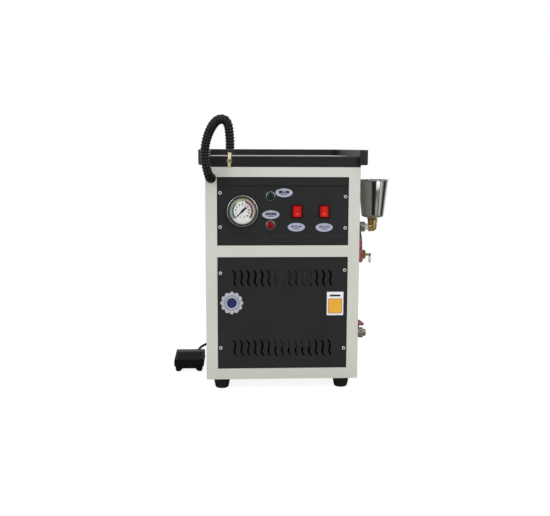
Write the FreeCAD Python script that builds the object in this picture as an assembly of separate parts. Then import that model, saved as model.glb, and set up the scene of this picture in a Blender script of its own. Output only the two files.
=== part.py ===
import FreeCAD, Part
import math
import os

# Steam cleaner for jewelry: a sheet-steel cabinet with a tray on top, a steam hose with a nozzle,
# a filler cup and three valves on its right side, and a foot pedal on a cord.
# Millimetres. X runs to the right, Y to the back, Z up. The origin is on the floor, at the middle
# of the cabinet's width and depth.

# Cabinet
cabinet_width = 340.0
cabinet_depth = 400.0
cabinet_height = 475.0
sheet = 1.5
bend_radius = 2.5
front_fold = 20.0
flange = 14.0
lap_cover = 12.0
base_flange = 15.0
seam = 0.3
overrun = 5.0
bend_share = 0.45

# Openings in the front frame and the panels that fill them
column_width = 25.3
top_margin = 22.0
control_opening_height = 150.5
middle_rail = 25.5
bottom_margin = 24.3
ledge_width = 12.0
panel_recess = 1.5
panel_step = 2.5
panel_gap = 0.4
top_band = 18.0
bottom_band = 21.0
band_slope = 2.0

# Wavy louvre slots of the lower panel, in two rows
slot_columns = 15
slot_height = 36.0
slot_width = 4.5
slot_side_margin = 30.7
slot_lean = 4.0
slot_bend_shares = (-0.26, 0.44)
slot_row_shares = (0.185, 0.812)

# Straight slots of the rear panel
rear_slot_columns = 12
rear_slot_width = 5.0
rear_slot_height = 42.0
rear_slot_side_margin = 74.0
rear_slot_row_shares = (0.25, 0.80)

# Screws of the panels
screw_radius = 2.0
screw_length = 9.0
screw_head_radius = 3.6
screw_head_height = 2.2
screw_hole_clearance = 0.15
cross_width = 1.0
cross_length = 4.4
cross_depth = 1.2
panel_screw_inset = 6.8
rear_screw_inset = 7.0
control_screw_shares = ((-1, 0.768), (-1, 0.269), (1, 0.713), (1, 0.254))
louvre_screw_shares = ((-1, 0.858), (-1, 0.188), (1, 0.881), (1, 0.179))
rear_screw_shares = ((-1, 0.08), (-1, 0.36), (-1, 0.64), (-1, 0.92),
                     (1, 0.08), (1, 0.36), (1, 0.64), (1, 0.92))

# Rubber feet
foot_height = 26.0
foot_top_radius = 20.0
foot_bottom_radius = 15.4
foot_round = 4.0
foot_inset_x = 34.0
foot_inset_y = 30.0
foot_counterbore_radius = 6.5
foot_counterbore_depth = 12.0
foot_screw_radius = 2.5
foot_screw_head_radius = 4.8
foot_screw_head_height = 3.0
foot_nut_across_flats = 8.0
foot_nut_height = 4.0
foot_screw_clearance = 0.25

# Tray on the cabinet's top
tray_bar_height = 23.0
tray_bar_depth = 12.0
rail_overlap = 4.0
rail_overhang = 14.0
rail_front_overhang = 12.0
rail_lift = 4.0
rail_height = 33.0
rail_wall = 2.0
rail_round = 4.0
rail_edge_round = 1.0
deck_drop = 1.5

# Pressure gauge
gauge_rise = 0.75
gauge_case_radius = 31.0
gauge_wall = 1.5
gauge_depth = 28.0
gauge_flange_overhang = 2.4
gauge_flange = 1.5
gauge_collar = 4.5
gauge_bezel_overhang = 3.25
gauge_bezel_height = 8.0
gauge_window_inset = 3.0
gauge_lens_thickness = 2.0
gauge_dial_thickness = 0.8
gauge_fit = 0.15
movement_radius = 12.0
arbor_radius = 0.9
arbor_length = 6.0
running_fit = 0.05
needle_hub_radius = 3.2
needle_lift = 0.9
needle_thickness = 0.6
needle_hub_height = 1.1
needle_end_gap = 4.5
needle_tail = 9.0
needle_root_width = 2.6
needle_tip_width = 0.7
needle_tail_width = 3.4
needle_zero_angle = 225.0
gauge_stem_radius = 6.0
gauge_stem_length = 12.0
clamp_bar_width = 14.0
clamp_thickness = 2.0
clamp_overhang = 9.0
clamp_stud_radius = 1.5
clamp_stud_spread = 20.0
clamp_stud_length = 12.0
clamp_nut_across_flats = 5.5
clamp_nut_height = 2.4

# Pilot lamps
lamp_shift = -0.7
green_lamp_rise = 33.05
red_lamp_drop = 30.65
lamp_bezel_radius = 10.8
lamp_bezel_height = 3.2
lamp_barrel_radius = 8.6
lamp_barrel_length = 26.0
lamp_lens_radius = 7.6
lamp_lens_seat = 3.0
lamp_lens_side = 5.2
lamp_lens_crown = 2.2
lamp_fit = 0.1
lamp_nut_across_flats = 21.0
lamp_nut_height = 3.5
lamp_pin_radius = 1.2
lamp_pin_length = 7.0
lamp_pin_spread = 4.0

# Rocker switches
rocker_shifts = (1.4, -0.4)
rocker_drop = 0.45
rocker_bezel_width = 25.3
rocker_bezel_length = 30.3
rocker_bezel_height = 2.2
rocker_bezel_round = 1.6
rocker_body_width = 22.6
rocker_body_length = 28.2
rocker_body_depth = 22.0
rocker_width = 19.8
rocker_reach = 12.8
rocker_side_gap = 0.3
rocker_end_gap = 0.25
rocker_pivot_depth = 1.6
rocker_well_depth = 14.0
rocker_pin_radius = 1.2
rocker_pin_length = 0.8
rocker_tilt = 11.0
rocker_end_angle = 22.0
rocker_foot_angle = 38.0
blade_width = 6.3
blade_thickness = 0.8
blade_length = 8.0
blade_rise = 9.0

# Plates and seal stuck on the panels
oval_width = 39.0
oval_height = 20.0
plate_thickness = 0.6
oval_offsets = ((1, 0.0, -34.95), (2, 0.0, -35.65), (0, 28.8, 40.75), (0, 0.0, -7.25))
panel_gap_shares = (0.20645, 0.08229, 0.16747, 0.21848)
seal_side_gap = 6.2
seal_rise = 23.35
seal_radius = 25.5
card_side_gap = 8.7
card_rise = 20.85
card_width = 37.0
card_length = 53.0
card_round = 1.5
sticker_thickness = 0.4

# Steam hose with its gland, ferrule and nozzle
gland_drop = 24.5
gland_collar_radius = 11.0
gland_collar = 4.0
gland_barrel_radius = 7.0
gland_barrel_length = 14.0
gland_nut_across_flats = 19.0
gland_nut_height = 5.0
gland_bore_radius = 4.0
gland_clearance = 0.3
hose_radius = 10.0
hose_valley_radius = 8.5
hose_bore_radius = 6.0
hose_rib_pitch = 7.2
rib_crest_share = 0.34
rib_flank_share = 0.18
hose_offsets = (
    (0.0, -32.0, 0.0),
    (-2.15, -46.0, 9.0),
    (-7.15, -50.0, 24.5),
    (-11.15, -50.0, 46.0),
    (-10.15, -50.0, 70.0),
    (-4.65, -50.0, 95.5),
    (4.85, -50.0, 116.5),
    (16.35, -50.0, 126.5),
    (29.35, -50.0, 125.5),
    (37.85, -50.0, 115.5),
    (41.25, -50.0, 95.0),
    (42.65, -50.0, 78.0),
    (41.95, -50.0, 63.5),
)
ferrule_radius = 8.8
ferrule_end_radius = 6.4
ferrule_length = 8.0
ferrule_bore_radius = 3.4
ferrule_plug_depth = 6.0
nozzle_length = 31.5
nozzle_collar_radius = 4.65
nozzle_collar_length = 12.0
nozzle_hex_across_flats = 8.6
nozzle_hex_length = 6.5
nozzle_groove_radius = 3.9
nozzle_groove_length = 2.2
nozzle_tip_radius = 2.6
nozzle_bore_radius = 1.3
nozzle_shank_radius = 3.3
nozzle_shank_length = 6.0

# Filler cup, its nut and its elbow
cup_rim_drop = 32.0
cup_height = 87.4
cup_rise = 23.2
cup_pipe_show = 9.4
cup_rim_radius = 35.5
cup_foot_radius = 25.8
cup_foot_round = 6.0
cup_wall = 1.0
cup_bead_radius = 1.5
tail_radius = 6.5
tail_bore_radius = 4.5
tail_flange_radius = 11.0
tail_flange = 3.0
tail_reach = 6.0
cup_nut_across_flats = 22.0
cup_nut_height = 6.0
elbow_radius = 10.6
elbow_bead_radius = 11.4
elbow_bead = 7.0
elbow_arm = 9.5
pipe_fit = 0.15

# Ball valves
drain_rise = 77.5
safety_drop = 66.2
valve_wall_gap = 2.0
valve_length = 27.6
valve_across_flats = 22.0
valve_end = 9.0
valve_waist_radius = 11.8
valve_ball_radius = 8.0
valve_ball_gap = 0.3
valve_ball_bore_radius = 4.7
valve_neck_radius = 5.4
valve_neck_height = 16.0
stem_radius = 3.4
stem_rise = 3.0
stem_flat = 2.4
lever_thickness = 2.0
lever_hub_radius = 6.0
lever_neck_width = 5.4
lever_flat = 9.0
lever_joggle_run = 11.0
lever_joggle_rise = 16.2
lever_nut_across_flats = 9.0
lever_nut_height = 4.0
grip_thickness = 5.0
grip_start_width = 7.0
grip_edge_round = 1.6
grip_fit = 0.05
feed_grip_start = 24.0
feed_grip_end = 80.5
feed_grip_width = 12.0
drain_grip_start = 22.0
drain_grip_end = 66.0
drain_grip_width = 15.6
outlet_radius = 8.4
outlet_length = 7.0
nipple_radius = 6.8
nipple_bore_radius = 4.8
nipple_entry = 5.0
wall_hole_clearance = 0.7

# Safety valve with its pull ring
safety_wall_gap = 6.0
safety_barrel_radius = 8.0
safety_barrel_length = 18.0
safety_hex_across_flats = 18.4
safety_hex_length = 8.4
safety_collar_radius = 9.6
safety_collar_length = 2.0
safety_chamber_radius = 5.2
safety_seat_length = 6.0
safety_cap = 2.6
safety_disc_radius = 4.8
safety_disc_length = 2.5
safety_stem_radius = 2.8
safety_stem_reach = 14.4
safety_eye_radius = 3.4
safety_eye_thickness = 3.0
safety_eye_hole = 1.35
ring_radius = 9.4
ring_wire_radius = 0.9

# Foot pedal
pedal_clearance = 12.5
pedal_front = -42.0
pedal_length = 94.0
pedal_cover_width = 72.0
pedal_cover_wall = 2.4
pedal_front_height = 29.5
pedal_rear_height = 33.0
pedal_cover_skirt = 13.0
pedal_cover_round = 2.5
pedal_side_gap = 0.6
pedal_base_bottom = 7.0
pedal_base_height = 19.0
pedal_ear_height = 24.0
pedal_ear_length = 20.0
pedal_base_wall = 3.0
pedal_base_inset = 3.2
pedal_foot_height = 7.0
pedal_foot_top = 18.0
pedal_foot_bottom = 11.0
pedal_foot_depth = 16.0
pedal_pin_radius = 2.0
pedal_pin_inset = 11.0
pedal_pin_height = 16.0
pedal_pin_head = 1.0
pedal_pin_head_radius = 3.2
spring_radius = 6.0
spring_wire_radius = 0.7
spring_turns = 5
spring_seat_share = 0.42
spring_gap = 0.3
switch_length = 28.0
switch_width = 10.0
switch_height = 11.5
switch_button_radius = 1.8
switch_button_height = 1.5
switch_offset_x = 12.0
switch_front_share = 0.22
pedal_gland_offset_x = 16.5
pedal_gland_height = 11.5
pedal_gland_radius = 5.0
pedal_gland_length = 6.0

# Pedal cord: a free run, a coil put away behind the cabinet and a rise to the rear panel
cord_radius = 3.0
cord_core_radius = 2.2
cord_run_shares = (
    (0.0, 0.0691, 0.817),
    (-0.0051, 0.1728, 0.207),
    (-0.0212, 0.2851, 0.0),
    (-0.0237, 0.4017, 0.0),
    (0.0042, 0.5227, 0.0),
    (0.072, 0.6436, 0.0),
    (0.2034, 0.7646, 0.0),
    (0.3983, 0.8855, 0.0),
    (0.661, 0.9806, 0.0),
)
coil_x = -78.0
coil_clearance = 5.5
coil_radius = 40.5
coil_pitch = 6.8
coil_turns = 5
coil_layer = 6.8
coil_floor = 3.3
cord_rise_shares = (
    (0.1964, 0.0, 0.0935),
    (0.4286, 0.0204, 0.0229),
    (0.6786, 0.102, 0.0),
    (0.875, 0.2653, 0.1093),
    (0.9732, 0.4558, 0.418),
    (1.0, 0.6327, 0.7531),
    (1.0, 0.8231, 0.9471),
)

# Glands of the rear panel
rear_gland_rise = 34.0
pedal_gland_x = 40.0
mains_gland_inset = 45.0
rear_gland_across_flats = 20.0
rear_gland_hex = 5.0
rear_gland_dome_radius = 9.2
rear_gland_reach = 16.0
rear_gland_barrel_radius = 7.8
rear_gland_barrel_length = 10.0
rear_gland_nut = 4.0
mains_bore_radius = 4.5
rear_gland_clearance = 0.2

# Boiler, heater and steam line inside the cabinet
boiler_x = 30.0
boiler_radius = 100.0
boiler_front_gap = 20.0
boiler_sump = 43.5
boiler_top_drop = 25.8
boiler_dome = 32.0
boiler_wall = 2.0
boiler_stand_radius = 72.0
boss_radius = 10.0
boss_length = 8.0
boss_sink = 12.0
steam_port_offset = 50.0
feed_port_offset = 60.0
heater_rise = 50.0
heater_port_radius = 21.0
heater_plug_radius = 16.0
heater_across_flats = 40.0
heater_head = 10.0
heater_rod_radius = 4.0
heater_rod_spread = 9.0
heater_rod_reach = 150.0
heater_cap_radius = 15.0
heater_cap_length = 22.0
solenoid_body_size = 34.0
solenoid_body_height = 24.0
solenoid_rise = 22.0
coil_box_size = 30.0
coil_box_height = 38.0
plunger_tube_radius = 6.5
plunger_tube_rise = 8.0
pressure_block_radius = 12.0
pressure_block_height = 24.0
pressure_can_radius = 16.0
pressure_can_height = 34.0
steam_pipe_radius = 4.0
steam_pipe_bore = 3.0
small_pipe_radius = 3.0
small_pipe_bore = 2.0
pipe_bend = 14.0
gauge_pipe_forward = 42.0

# Control gear on its rail
gear_rail_inset = 30.0
gear_rail_rear_gap = 60.0
gear_rail_length = 150.0
gear_rail_width = 35.0
gear_rail_height = 7.5
contactor_width = 45.0
contactor_length = 75.0
contactor_height = 60.0
terminal_length = 40.0
terminal_height = 36.0
gear_gap = 8.0

Vector = FreeCAD.Vector
CENTRE = Vector(0, 0, 0)
RIGHT, BACK, UP = Vector(1, 0, 0), Vector(0, 1, 0), Vector(0, 0, 1)
LEFT, FRONT, DOWN = Vector(-1, 0, 0), Vector(0, -1, 0), Vector(0, 0, -1)

half_width = cabinet_width / 2
front = -cabinet_depth / 2
rear = cabinet_depth / 2
cabinet_bottom = foot_height
cabinet_top = foot_height + cabinet_height
opening_half = half_width - column_width
control_top = cabinet_top - top_margin
control_bottom = control_top - control_opening_height
louvre_top = control_bottom - middle_rail
louvre_bottom = cabinet_bottom + bottom_margin
band_face = front + panel_recess
control_face = band_face + panel_step
control_back = control_face + sheet
louvre_face = front + panel_recess
deck_top = cabinet_top + tray_bar_height - deck_drop
rail_inner = half_width - rail_overlap
rail_outer = half_width + rail_overhang
rail_front = front - rail_front_overhang
base_top = cabinet_bottom + sheet
control_middle = (control_top + control_bottom) / 2
louvre_middle = (louvre_top + louvre_bottom) / 2
gauge_height = control_middle + gauge_rise
green_lamp_height = control_middle + green_lamp_rise
red_lamp_height = control_middle - red_lamp_drop
rocker_height = control_middle - rocker_drop
slot_pitch = 2 * (opening_half - slot_side_margin) / slot_columns
rear_slot_pitch = 2 * (half_width - rear_slot_side_margin) / rear_slot_columns
gauge_flange_radius = gauge_case_radius + gauge_flange_overhang
gauge_bezel_radius = gauge_case_radius + gauge_bezel_overhang
gauge_window_radius = gauge_case_radius - gauge_window_inset
needle_length = gauge_window_radius - needle_end_gap
clamp_reach = gauge_case_radius + clamp_overhang
panel_room = 2 * (opening_half - gauge_bezel_radius) - 3 * oval_width
gauge_x = gauge_bezel_radius + panel_gap_shares[0] * panel_room - opening_half
columns_x = []
for count, share in enumerate(panel_gap_shares[1:]):
    last = columns_x[-1] + oval_width / 2 if count else gauge_x + gauge_bezel_radius
    columns_x.append(last + share * panel_room + oval_width / 2)
lamp_x = columns_x[0] + lamp_shift
rocker_places_x = [x + shift for x, shift in zip(columns_x[1:], rocker_shifts)]
oval_places = [(columns_x[i] + x, control_middle + z) for i, x, z in oval_offsets]
seal_x = seal_side_gap + seal_radius - opening_half
card_x = opening_half - card_side_gap - card_width / 2
mains_gland_x = half_width - mains_gland_inset
seal_height = louvre_middle + seal_rise
card_height = louvre_middle + card_rise
valve_line_y = front + boiler_front_gap + boiler_radius
valve_start_x = half_width + valve_wall_gap
valve_middle_x = valve_start_x + valve_length / 2
valve_end_x = valve_start_x + valve_length
safety_start_x = half_width + safety_wall_gap
cup_x = valve_end_x + cup_pipe_show + elbow_arm
cup_rim_height = cabinet_top - cup_rim_drop
cup_bottom_height = cup_rim_height - cup_height
feed_height = cup_bottom_height - cup_rise
safety_height = feed_height - safety_drop
drain_height = cabinet_bottom + drain_rise
boiler_bottom = drain_height - boiler_sump
boiler_top = feed_height - boiler_top_drop
top_port_height = boiler_top + boss_length
heater_height = boiler_bottom + heater_rise
steam_port_x = boiler_x - steam_port_offset
feed_port_x = boiler_x + feed_port_offset
solenoid_base = top_port_height + solenoid_rise
gauge_pipe_y = valve_line_y - gauge_pipe_forward
gauge_pipe_height = top_port_height + pressure_block_height / 2
gear_rail_x = gear_rail_inset - half_width
gear_rail_y = rear - gear_rail_rear_gap - gear_rail_length
pedal_x = -half_width - pedal_clearance - pedal_cover_width / 2
pedal_rear = pedal_front + pedal_length
coil_y = rear + coil_clearance + coil_radius + cord_radius
rear_gland_height = cabinet_bottom + rear_gland_rise


def block(x, y, z):
    """A box between two values of x, of y and of z."""
    return Part.makeBox(x[1] - x[0], y[1] - y[0], z[1] - z[0], Vector(x[0], y[0], z[0]))


def rod(start, direction, radius, length):
    return Part.makeCylinder(radius, length, start, direction)


def placed(shape, place, direction):
    """The shape with its own Z axis turned to a direction and its origin moved to a place."""
    moved = shape.copy()
    turn = FreeCAD.Placement(place, FreeCAD.Rotation(UP, direction))
    moved.Placement = turn.multiply(moved.Placement)
    return moved


def outline_face(corners):
    """A flat face inside corners; a corner given as a pair of points is an arc's middle and end."""
    edges = []
    first = last = corners[0]
    for corner in corners[1:] + [first]:
        if isinstance(corner, tuple):
            middle, end = corner
            edges.append(Part.Arc(last, middle, end).toShape())
            last = end
        elif corner.distanceToPoint(last) > seam / 1000:
            edges.append(Part.LineSegment(last, corner).toShape())
            last = corner
    return Part.Face(Part.Wire(edges))


def turned(profile, place, direction):
    """A lathe-turned solid; profile has (radius, height) corners, four numbers for an arc."""
    corners = []
    for corner in profile:
        points = [Vector(corner[i], 0, corner[i + 1]) for i in range(0, len(corner), 2)]
        corners.append(points[0] if len(points) == 1 else tuple(points))
    solid = outline_face(corners).revolve(CENTRE, UP, 360)
    return placed(solid, place, direction)


def cap_arc(radius, level, rise):
    """The profile arc of a round cap from its rim at a level to its crown on the axis."""
    sphere = (radius ** 2 + rise ** 2) / (2 * abs(rise))
    sag = sphere - math.sqrt(sphere ** 2 - radius ** 2 / 4)
    return (radius / 2, level + rise - math.copysign(sag, rise), 0, level + rise)


def hexagon(start, direction, across_flats, length):
    corner = across_flats / math.sqrt(3)
    angles = [math.radians(60 * i) for i in range(6)]
    points = [Vector(corner * math.cos(a), corner * math.sin(a), 0) for a in angles]
    return placed(outline_face(points).extrude(UP * length), start, direction)


def along(edge, direction):
    """True for a straight edge that runs along a direction."""
    ends = [vertex.Point for vertex in edge.Vertexes]
    return len(ends) == 2 and (ends[1] - ends[0]).cross(direction).Length < seam / 1000


def eased(shape, radius, chosen):
    return shape.makeFillet(radius, [edge for edge in shape.Edges if chosen(edge)])


def middle(edge):
    return edge.BoundBox.Center


def joined(solids):
    first, *rest = solids
    return first.fuse(rest).removeSplitter() if rest else first


def mirrored(shape):
    return shape.mirror(CENTRE, RIGHT)


# Cabinet


def opening_ring(low, high, set_back):
    """The joggled ledge behind an opening of the front frame."""
    ring = block((-opening_half - sheet, opening_half + sheet),
                 (front, front + set_back + sheet), (low - sheet, high + sheet))
    return ring.cut(opening_space(low, high, set_back))


def opening_space(low, high, set_back):
    mouth = block((-opening_half, opening_half), (front - overrun, front + set_back), (low, high))
    inside = block((-opening_half + ledge_width, opening_half - ledge_width),
                   (front - overrun, front + set_back + sheet + overrun),
                   (low + ledge_width, high - ledge_width))
    return mouth.fuse(inside)


def screw_places(low, high, inset, shares):
    """Places (x, z) of screws beside both edges of a panel."""
    return [(side * inset, low + share * (high - low)) for side, share in shares]


control_screws = screw_places(control_bottom, control_top,
                              opening_half - panel_screw_inset, control_screw_shares)
louvre_screws = screw_places(louvre_bottom, louvre_top,
                             opening_half - panel_screw_inset, louvre_screw_shares)
rear_screws = screw_places(cabinet_bottom, cabinet_top,
                           half_width - sheet - rear_screw_inset, rear_screw_shares)
gland_place = Vector(-half_width + column_width / 2, front, cabinet_top - gland_drop)


def screw_holes(places, y, depth):
    radius = screw_radius + screw_hole_clearance
    holes = [rod(Vector(x, y - depth, z), BACK, radius, 2 * depth) for x, z in places]
    return Part.makeCompound(holes)


def front_frame():
    bends = bend_radius
    shell = block((-half_width, half_width), (front, front + front_fold),
                  (cabinet_bottom, cabinet_top))
    shell = eased(shell, bends, lambda e: abs(middle(e).y - front) < seam and (
        along(e, UP) or along(e, RIGHT) and middle(e).z > gland_place.z))
    hollow = block((-half_width + sheet, half_width - sheet),
                   (front + sheet, front + front_fold + overrun),
                   (cabinet_bottom - overrun, cabinet_top - sheet))
    hollow = eased(hollow, bends - sheet, lambda e: abs(middle(e).y - front - sheet) < seam and (
        along(e, UP) or along(e, RIGHT) and middle(e).z > gland_place.z))
    frame = shell.cut(hollow)
    control_set_back = panel_recess + panel_step + sheet
    louvre_set_back = panel_recess + sheet
    frame = frame.fuse([opening_ring(control_bottom, control_top, control_set_back),
                        opening_ring(louvre_bottom, louvre_top, louvre_set_back)])
    frame = frame.cut(opening_space(control_bottom, control_top, control_set_back))
    frame = frame.cut(opening_space(louvre_bottom, louvre_top, louvre_set_back))
    frame = frame.cut(screw_holes(control_screws + louvre_screws, front, front_fold))
    barrel_hole = rod(gland_place + FRONT * overrun, BACK,
                      gland_barrel_radius + gland_clearance, 2 * overrun)
    return frame.cut(barrel_hole).removeSplitter()


def side_panel():
    """The right side: a wall with a lap strip behind the front seam and three inward flanges."""
    inner = half_width - sheet
    seam_y = front + front_fold
    wall = block((inner, half_width), (seam_y + seam, rear), (cabinet_bottom, cabinet_top))
    lap = block((inner - sheet, inner), (seam_y - lap_cover, seam_y + lap_cover),
                (cabinet_bottom + base_flange + seam, cabinet_top - sheet - seam))
    top = block((inner - flange, inner), (seam_y + seam, rear - sheet - seam),
                (cabinet_top - sheet, cabinet_top))
    back = block((inner - flange, inner), (rear - 2 * sheet, rear - sheet),
                 (cabinet_bottom + base_flange + seam, cabinet_top - 2 * sheet - seam))
    panel = joined([wall, lap, top, back])
    return panel.cut(screw_holes([place for place in rear_screws if place[0] > 0],
                                 rear - sheet, overrun))


def wall_holes():
    """Holes for the three pipes that leave through the right side."""
    radius = nipple_radius + wall_hole_clearance
    heights = (feed_height, safety_height, drain_height)
    return [rod(Vector(half_width - overrun, valve_line_y, height), RIGHT, radius, 2 * overrun)
            for height in heights]


def rear_panel():
    low, high = cabinet_bottom + seam, cabinet_top - sheet - seam
    width = half_width - sheet - seam
    plate = block((-width, width), (rear - sheet, rear), (low, high))
    lip = block((-width + flange + seam, width - flange - seam),
                (rear - sheet - flange, rear - sheet), (high - sheet, high))
    panel = joined([plate, lip])
    slots = []
    for share in rear_slot_row_shares:
        middle_z = cabinet_bottom + share * cabinet_height
        for i in range(rear_slot_columns):
            x = (i - (rear_slot_columns - 1) / 2) * rear_slot_pitch
            straight = (rear_slot_height - rear_slot_width) / 2
            half = rear_slot_width / 2
            slots.append(outline_face([
                Vector(x + half, rear - overrun, middle_z - straight),
                Vector(x + half, rear - overrun, middle_z + straight),
                (Vector(x, rear - overrun, middle_z + straight + half),
                 Vector(x - half, rear - overrun, middle_z + straight)),
                Vector(x - half, rear - overrun, middle_z - straight),
                (Vector(x, rear - overrun, middle_z - straight - half),
                 Vector(x + half, rear - overrun, middle_z - straight)),
            ]).extrude(BACK * 2 * overrun))
    panel = panel.cut(Part.makeCompound(slots))
    for x in (pedal_gland_x, mains_gland_x):
        panel = panel.cut(rod(Vector(x, rear - overrun, rear_gland_height), BACK,
                              rear_gland_barrel_radius + rear_gland_clearance, 2 * overrun))
    return panel.cut(screw_holes(rear_screws, rear, overrun))


def foot_places():
    return [Vector(x * (half_width - foot_inset_x), y * (rear - foot_inset_y), 0)
            for x in (-1, 1) for y in (-1, 1)]


def base_pan():
    inner = half_width - sheet
    pan = block((-inner, inner), (front + sheet, rear - sheet),
                (cabinet_bottom, cabinet_bottom + base_flange))
    pan = pan.cut(block((-inner + sheet, inner - sheet), (front + 2 * sheet, rear - 2 * sheet),
                        (base_top, cabinet_bottom + base_flange + overrun)))
    holes = [rod(place, UP, foot_screw_radius + foot_screw_clearance, 2 * foot_height)
             for place in foot_places()]
    return pan.cut(Part.makeCompound(holes))


def rubber_feet():
    """Tapered feet with a counterbore for the screw's head."""
    feet = []
    hole_radius = foot_screw_radius + foot_screw_clearance
    corner = foot_bottom_radius - foot_round
    bulge = foot_round * math.sqrt(0.5)
    for place in foot_places():
        feet.append(turned([
            (foot_counterbore_radius, 0),
            (corner, 0),
            (corner + bulge, foot_round - bulge, foot_bottom_radius, foot_round),
            (foot_top_radius, foot_height),
            (hole_radius, foot_height),
            (hole_radius, foot_counterbore_depth),
            (foot_counterbore_radius, foot_counterbore_depth),
        ], place, UP))
    return feet


def foot_screws():
    solids = []
    for place in foot_places():
        head_base = foot_counterbore_depth - foot_screw_head_height
        head = rod(place + UP * head_base, UP, foot_screw_head_radius, foot_screw_head_height)
        nut_top = base_top + foot_nut_height
        shank = rod(place + UP * foot_counterbore_depth, UP, foot_screw_radius,
                    nut_top + foot_screw_radius - foot_counterbore_depth)
        nut = hexagon(place + UP * base_top, UP, foot_nut_across_flats, foot_nut_height)
        nut = nut.cut(rod(place, UP, foot_screw_radius, 2 * foot_height))
        solids += [cross_cut(joined([head, shank]), place + UP * head_base, DOWN), nut]
    return solids


def cross_cut(screw, place, outward):
    """The cross recess in a screw's head, whose face is at place and looks outward."""
    for turn in (RIGHT, outward.cross(RIGHT)):
        across = turn.cross(outward)
        corner = place - turn * (cross_length / 2) - across * (cross_width / 2)
        bar = Part.makeBox(cross_length, cross_width, cross_depth)
        axes = FreeCAD.Matrix(turn.x, across.x, -outward.x, corner.x,
                              turn.y, across.y, -outward.y, corner.y,
                              turn.z, across.z, -outward.z, corner.z)
        screw = screw.cut(bar.transformGeometry(axes))
    return screw


def panel_screw(place, outward):
    """A pan-head screw whose head rests on a panel at place."""
    radius, rise = screw_head_radius, screw_head_height
    crown = radius * 0.8
    body = turned([
        (0, -screw_length),
        (screw_radius, -screw_length),
        (screw_radius, 0),
        (radius, 0),
        (radius, rise / 2),
        ((radius + crown) / 2 + rise / 8, rise * 0.8, crown, rise),
        (0, rise),
    ], place, outward)
    return cross_cut(body, place + outward * rise, outward)


def cabinet_screws():
    solids = [panel_screw(Vector(x, control_face, z), FRONT) for x, z in control_screws]
    solids += [panel_screw(Vector(x, louvre_face, z), FRONT) for x, z in louvre_screws]
    solids += [panel_screw(Vector(x, rear, z), BACK) for x, z in rear_screws]
    return solids


# Tray


def tray_front_bar():
    """A channel along the tray's front, open to the back."""
    high = cabinet_top + tray_bar_height
    bar = block((-rail_inner, rail_inner), (front, front + tray_bar_depth), (cabinet_top, high))
    bar = eased(bar, bend_radius, lambda e: along(e, RIGHT) and abs(middle(e).y - front) < seam
                and middle(e).z > deck_top)
    return bar.cut(block((-rail_inner - overrun, rail_inner + overrun),
                         (front + sheet, front + tray_bar_depth + overrun),
                         (cabinet_top + sheet, high - sheet)))


def tray_deck():
    """The tray's floor, folded down at its four sides to stand on the cabinet."""
    behind_bar = front + tray_bar_depth
    back = rear - rail_overlap
    deck = block((-rail_inner, rail_inner), (behind_bar, back), (cabinet_top, deck_top))
    return deck.cut(block((-rail_inner + sheet, rail_inner - sheet),
                          (behind_bar + sheet, back - sheet),
                          (cabinet_top - overrun, deck_top - sheet)))


def rail_band(outer, inner, low, high, front_y):
    """A U round the tray's sides and back, between an outer and an inner offset."""
    whole = block((-outer, outer), (front_y, rear + outer - half_width), (low, high))
    gap = block((-inner, inner), (front_y - overrun, rear + inner - half_width),
                (low - overrun, high + overrun))
    return whole.cut(gap)


def tray_rail():
    """The raised rail: a channel open below, closed at its front ends, on a narrow foot."""
    low = cabinet_top + rail_lift
    high = low + rail_height
    rail = rail_band(rail_outer, rail_inner, low, high, rail_front)
    rail = eased(rail, rail_round, lambda e: abs(middle(e).x) > rail_outer - seam and
                 (along(e, UP) or middle(e).z < low + seam and along(e, BACK)))
    rail = eased(rail, rail_edge_round, lambda e: middle(e).z > high - seam and
                 e.Length > rail_overhang)
    hollow = rail_band(rail_outer - rail_wall, rail_inner + rail_wall,
                       low - overrun, high - rail_wall, rail_front + rail_wall)
    foot = rail_band(half_width, rail_inner, cabinet_top, low, front)
    return joined([rail.cut(hollow), foot])


# Front panels


def control_panel():
    """Folded sheet: a flat middle set back behind a band along the top and the bottom."""
    low, high = control_bottom + panel_gap, control_top - panel_gap
    line = [
        (band_face, low),
        (band_face, control_bottom + bottom_band),
        (control_face, control_bottom + bottom_band + band_slope),
        (control_face, control_top - top_band - band_slope),
        (band_face, control_top - top_band),
        (band_face, high),
    ]
    left = -opening_half + panel_gap
    corners = [Vector(left, y, z) for y, z in line]
    corners += [Vector(left, y + sheet, z) for y, z in reversed(line)]
    panel = outline_face(corners).extrude(RIGHT * (2 * opening_half - 2 * panel_gap))
    cuts = [rod(Vector(gauge_x, front, gauge_height), BACK,
                gauge_case_radius + gauge_fit, front_fold)]
    for height in (green_lamp_height, red_lamp_height):
        cuts.append(rod(Vector(lamp_x, front, height), BACK,
                        lamp_barrel_radius + lamp_fit, front_fold))
    half_x = rocker_body_width / 2 + lamp_fit
    half_z = rocker_body_length / 2 + lamp_fit
    for x in rocker_places_x:
        cuts.append(block((x - half_x, x + half_x), (front, front + front_fold),
                          (rocker_height - half_z, rocker_height + half_z)))
    panel = panel.cut(Part.makeCompound(cuts))
    return panel.cut(screw_holes(control_screws, control_face, overrun))


def wavy_slot(x, z):
    """One louvre slot: its upper end leans left and its lower end leans right."""
    half, reach = slot_width / 2, slot_height / 2
    lean, rise = slot_bend_shares
    y = louvre_face - overrun

    def at(shift, up):
        return Vector(x + shift, y, z + up)

    bend, bend_rise = lean * slot_lean, rise * reach
    corners = [
        at(-half, 0),
        (at(-bend - half, bend_rise), at(-slot_lean - half, reach)),
        at(-slot_lean + half, reach),
        (at(-bend + half, bend_rise), at(half, 0)),
        (at(bend + half, -bend_rise), at(slot_lean + half, -reach)),
        at(slot_lean - half, -reach),
        (at(bend - half, -bend_rise), at(-half, 0)),
    ]
    return outline_face(corners).extrude(BACK * 2 * overrun)


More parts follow.
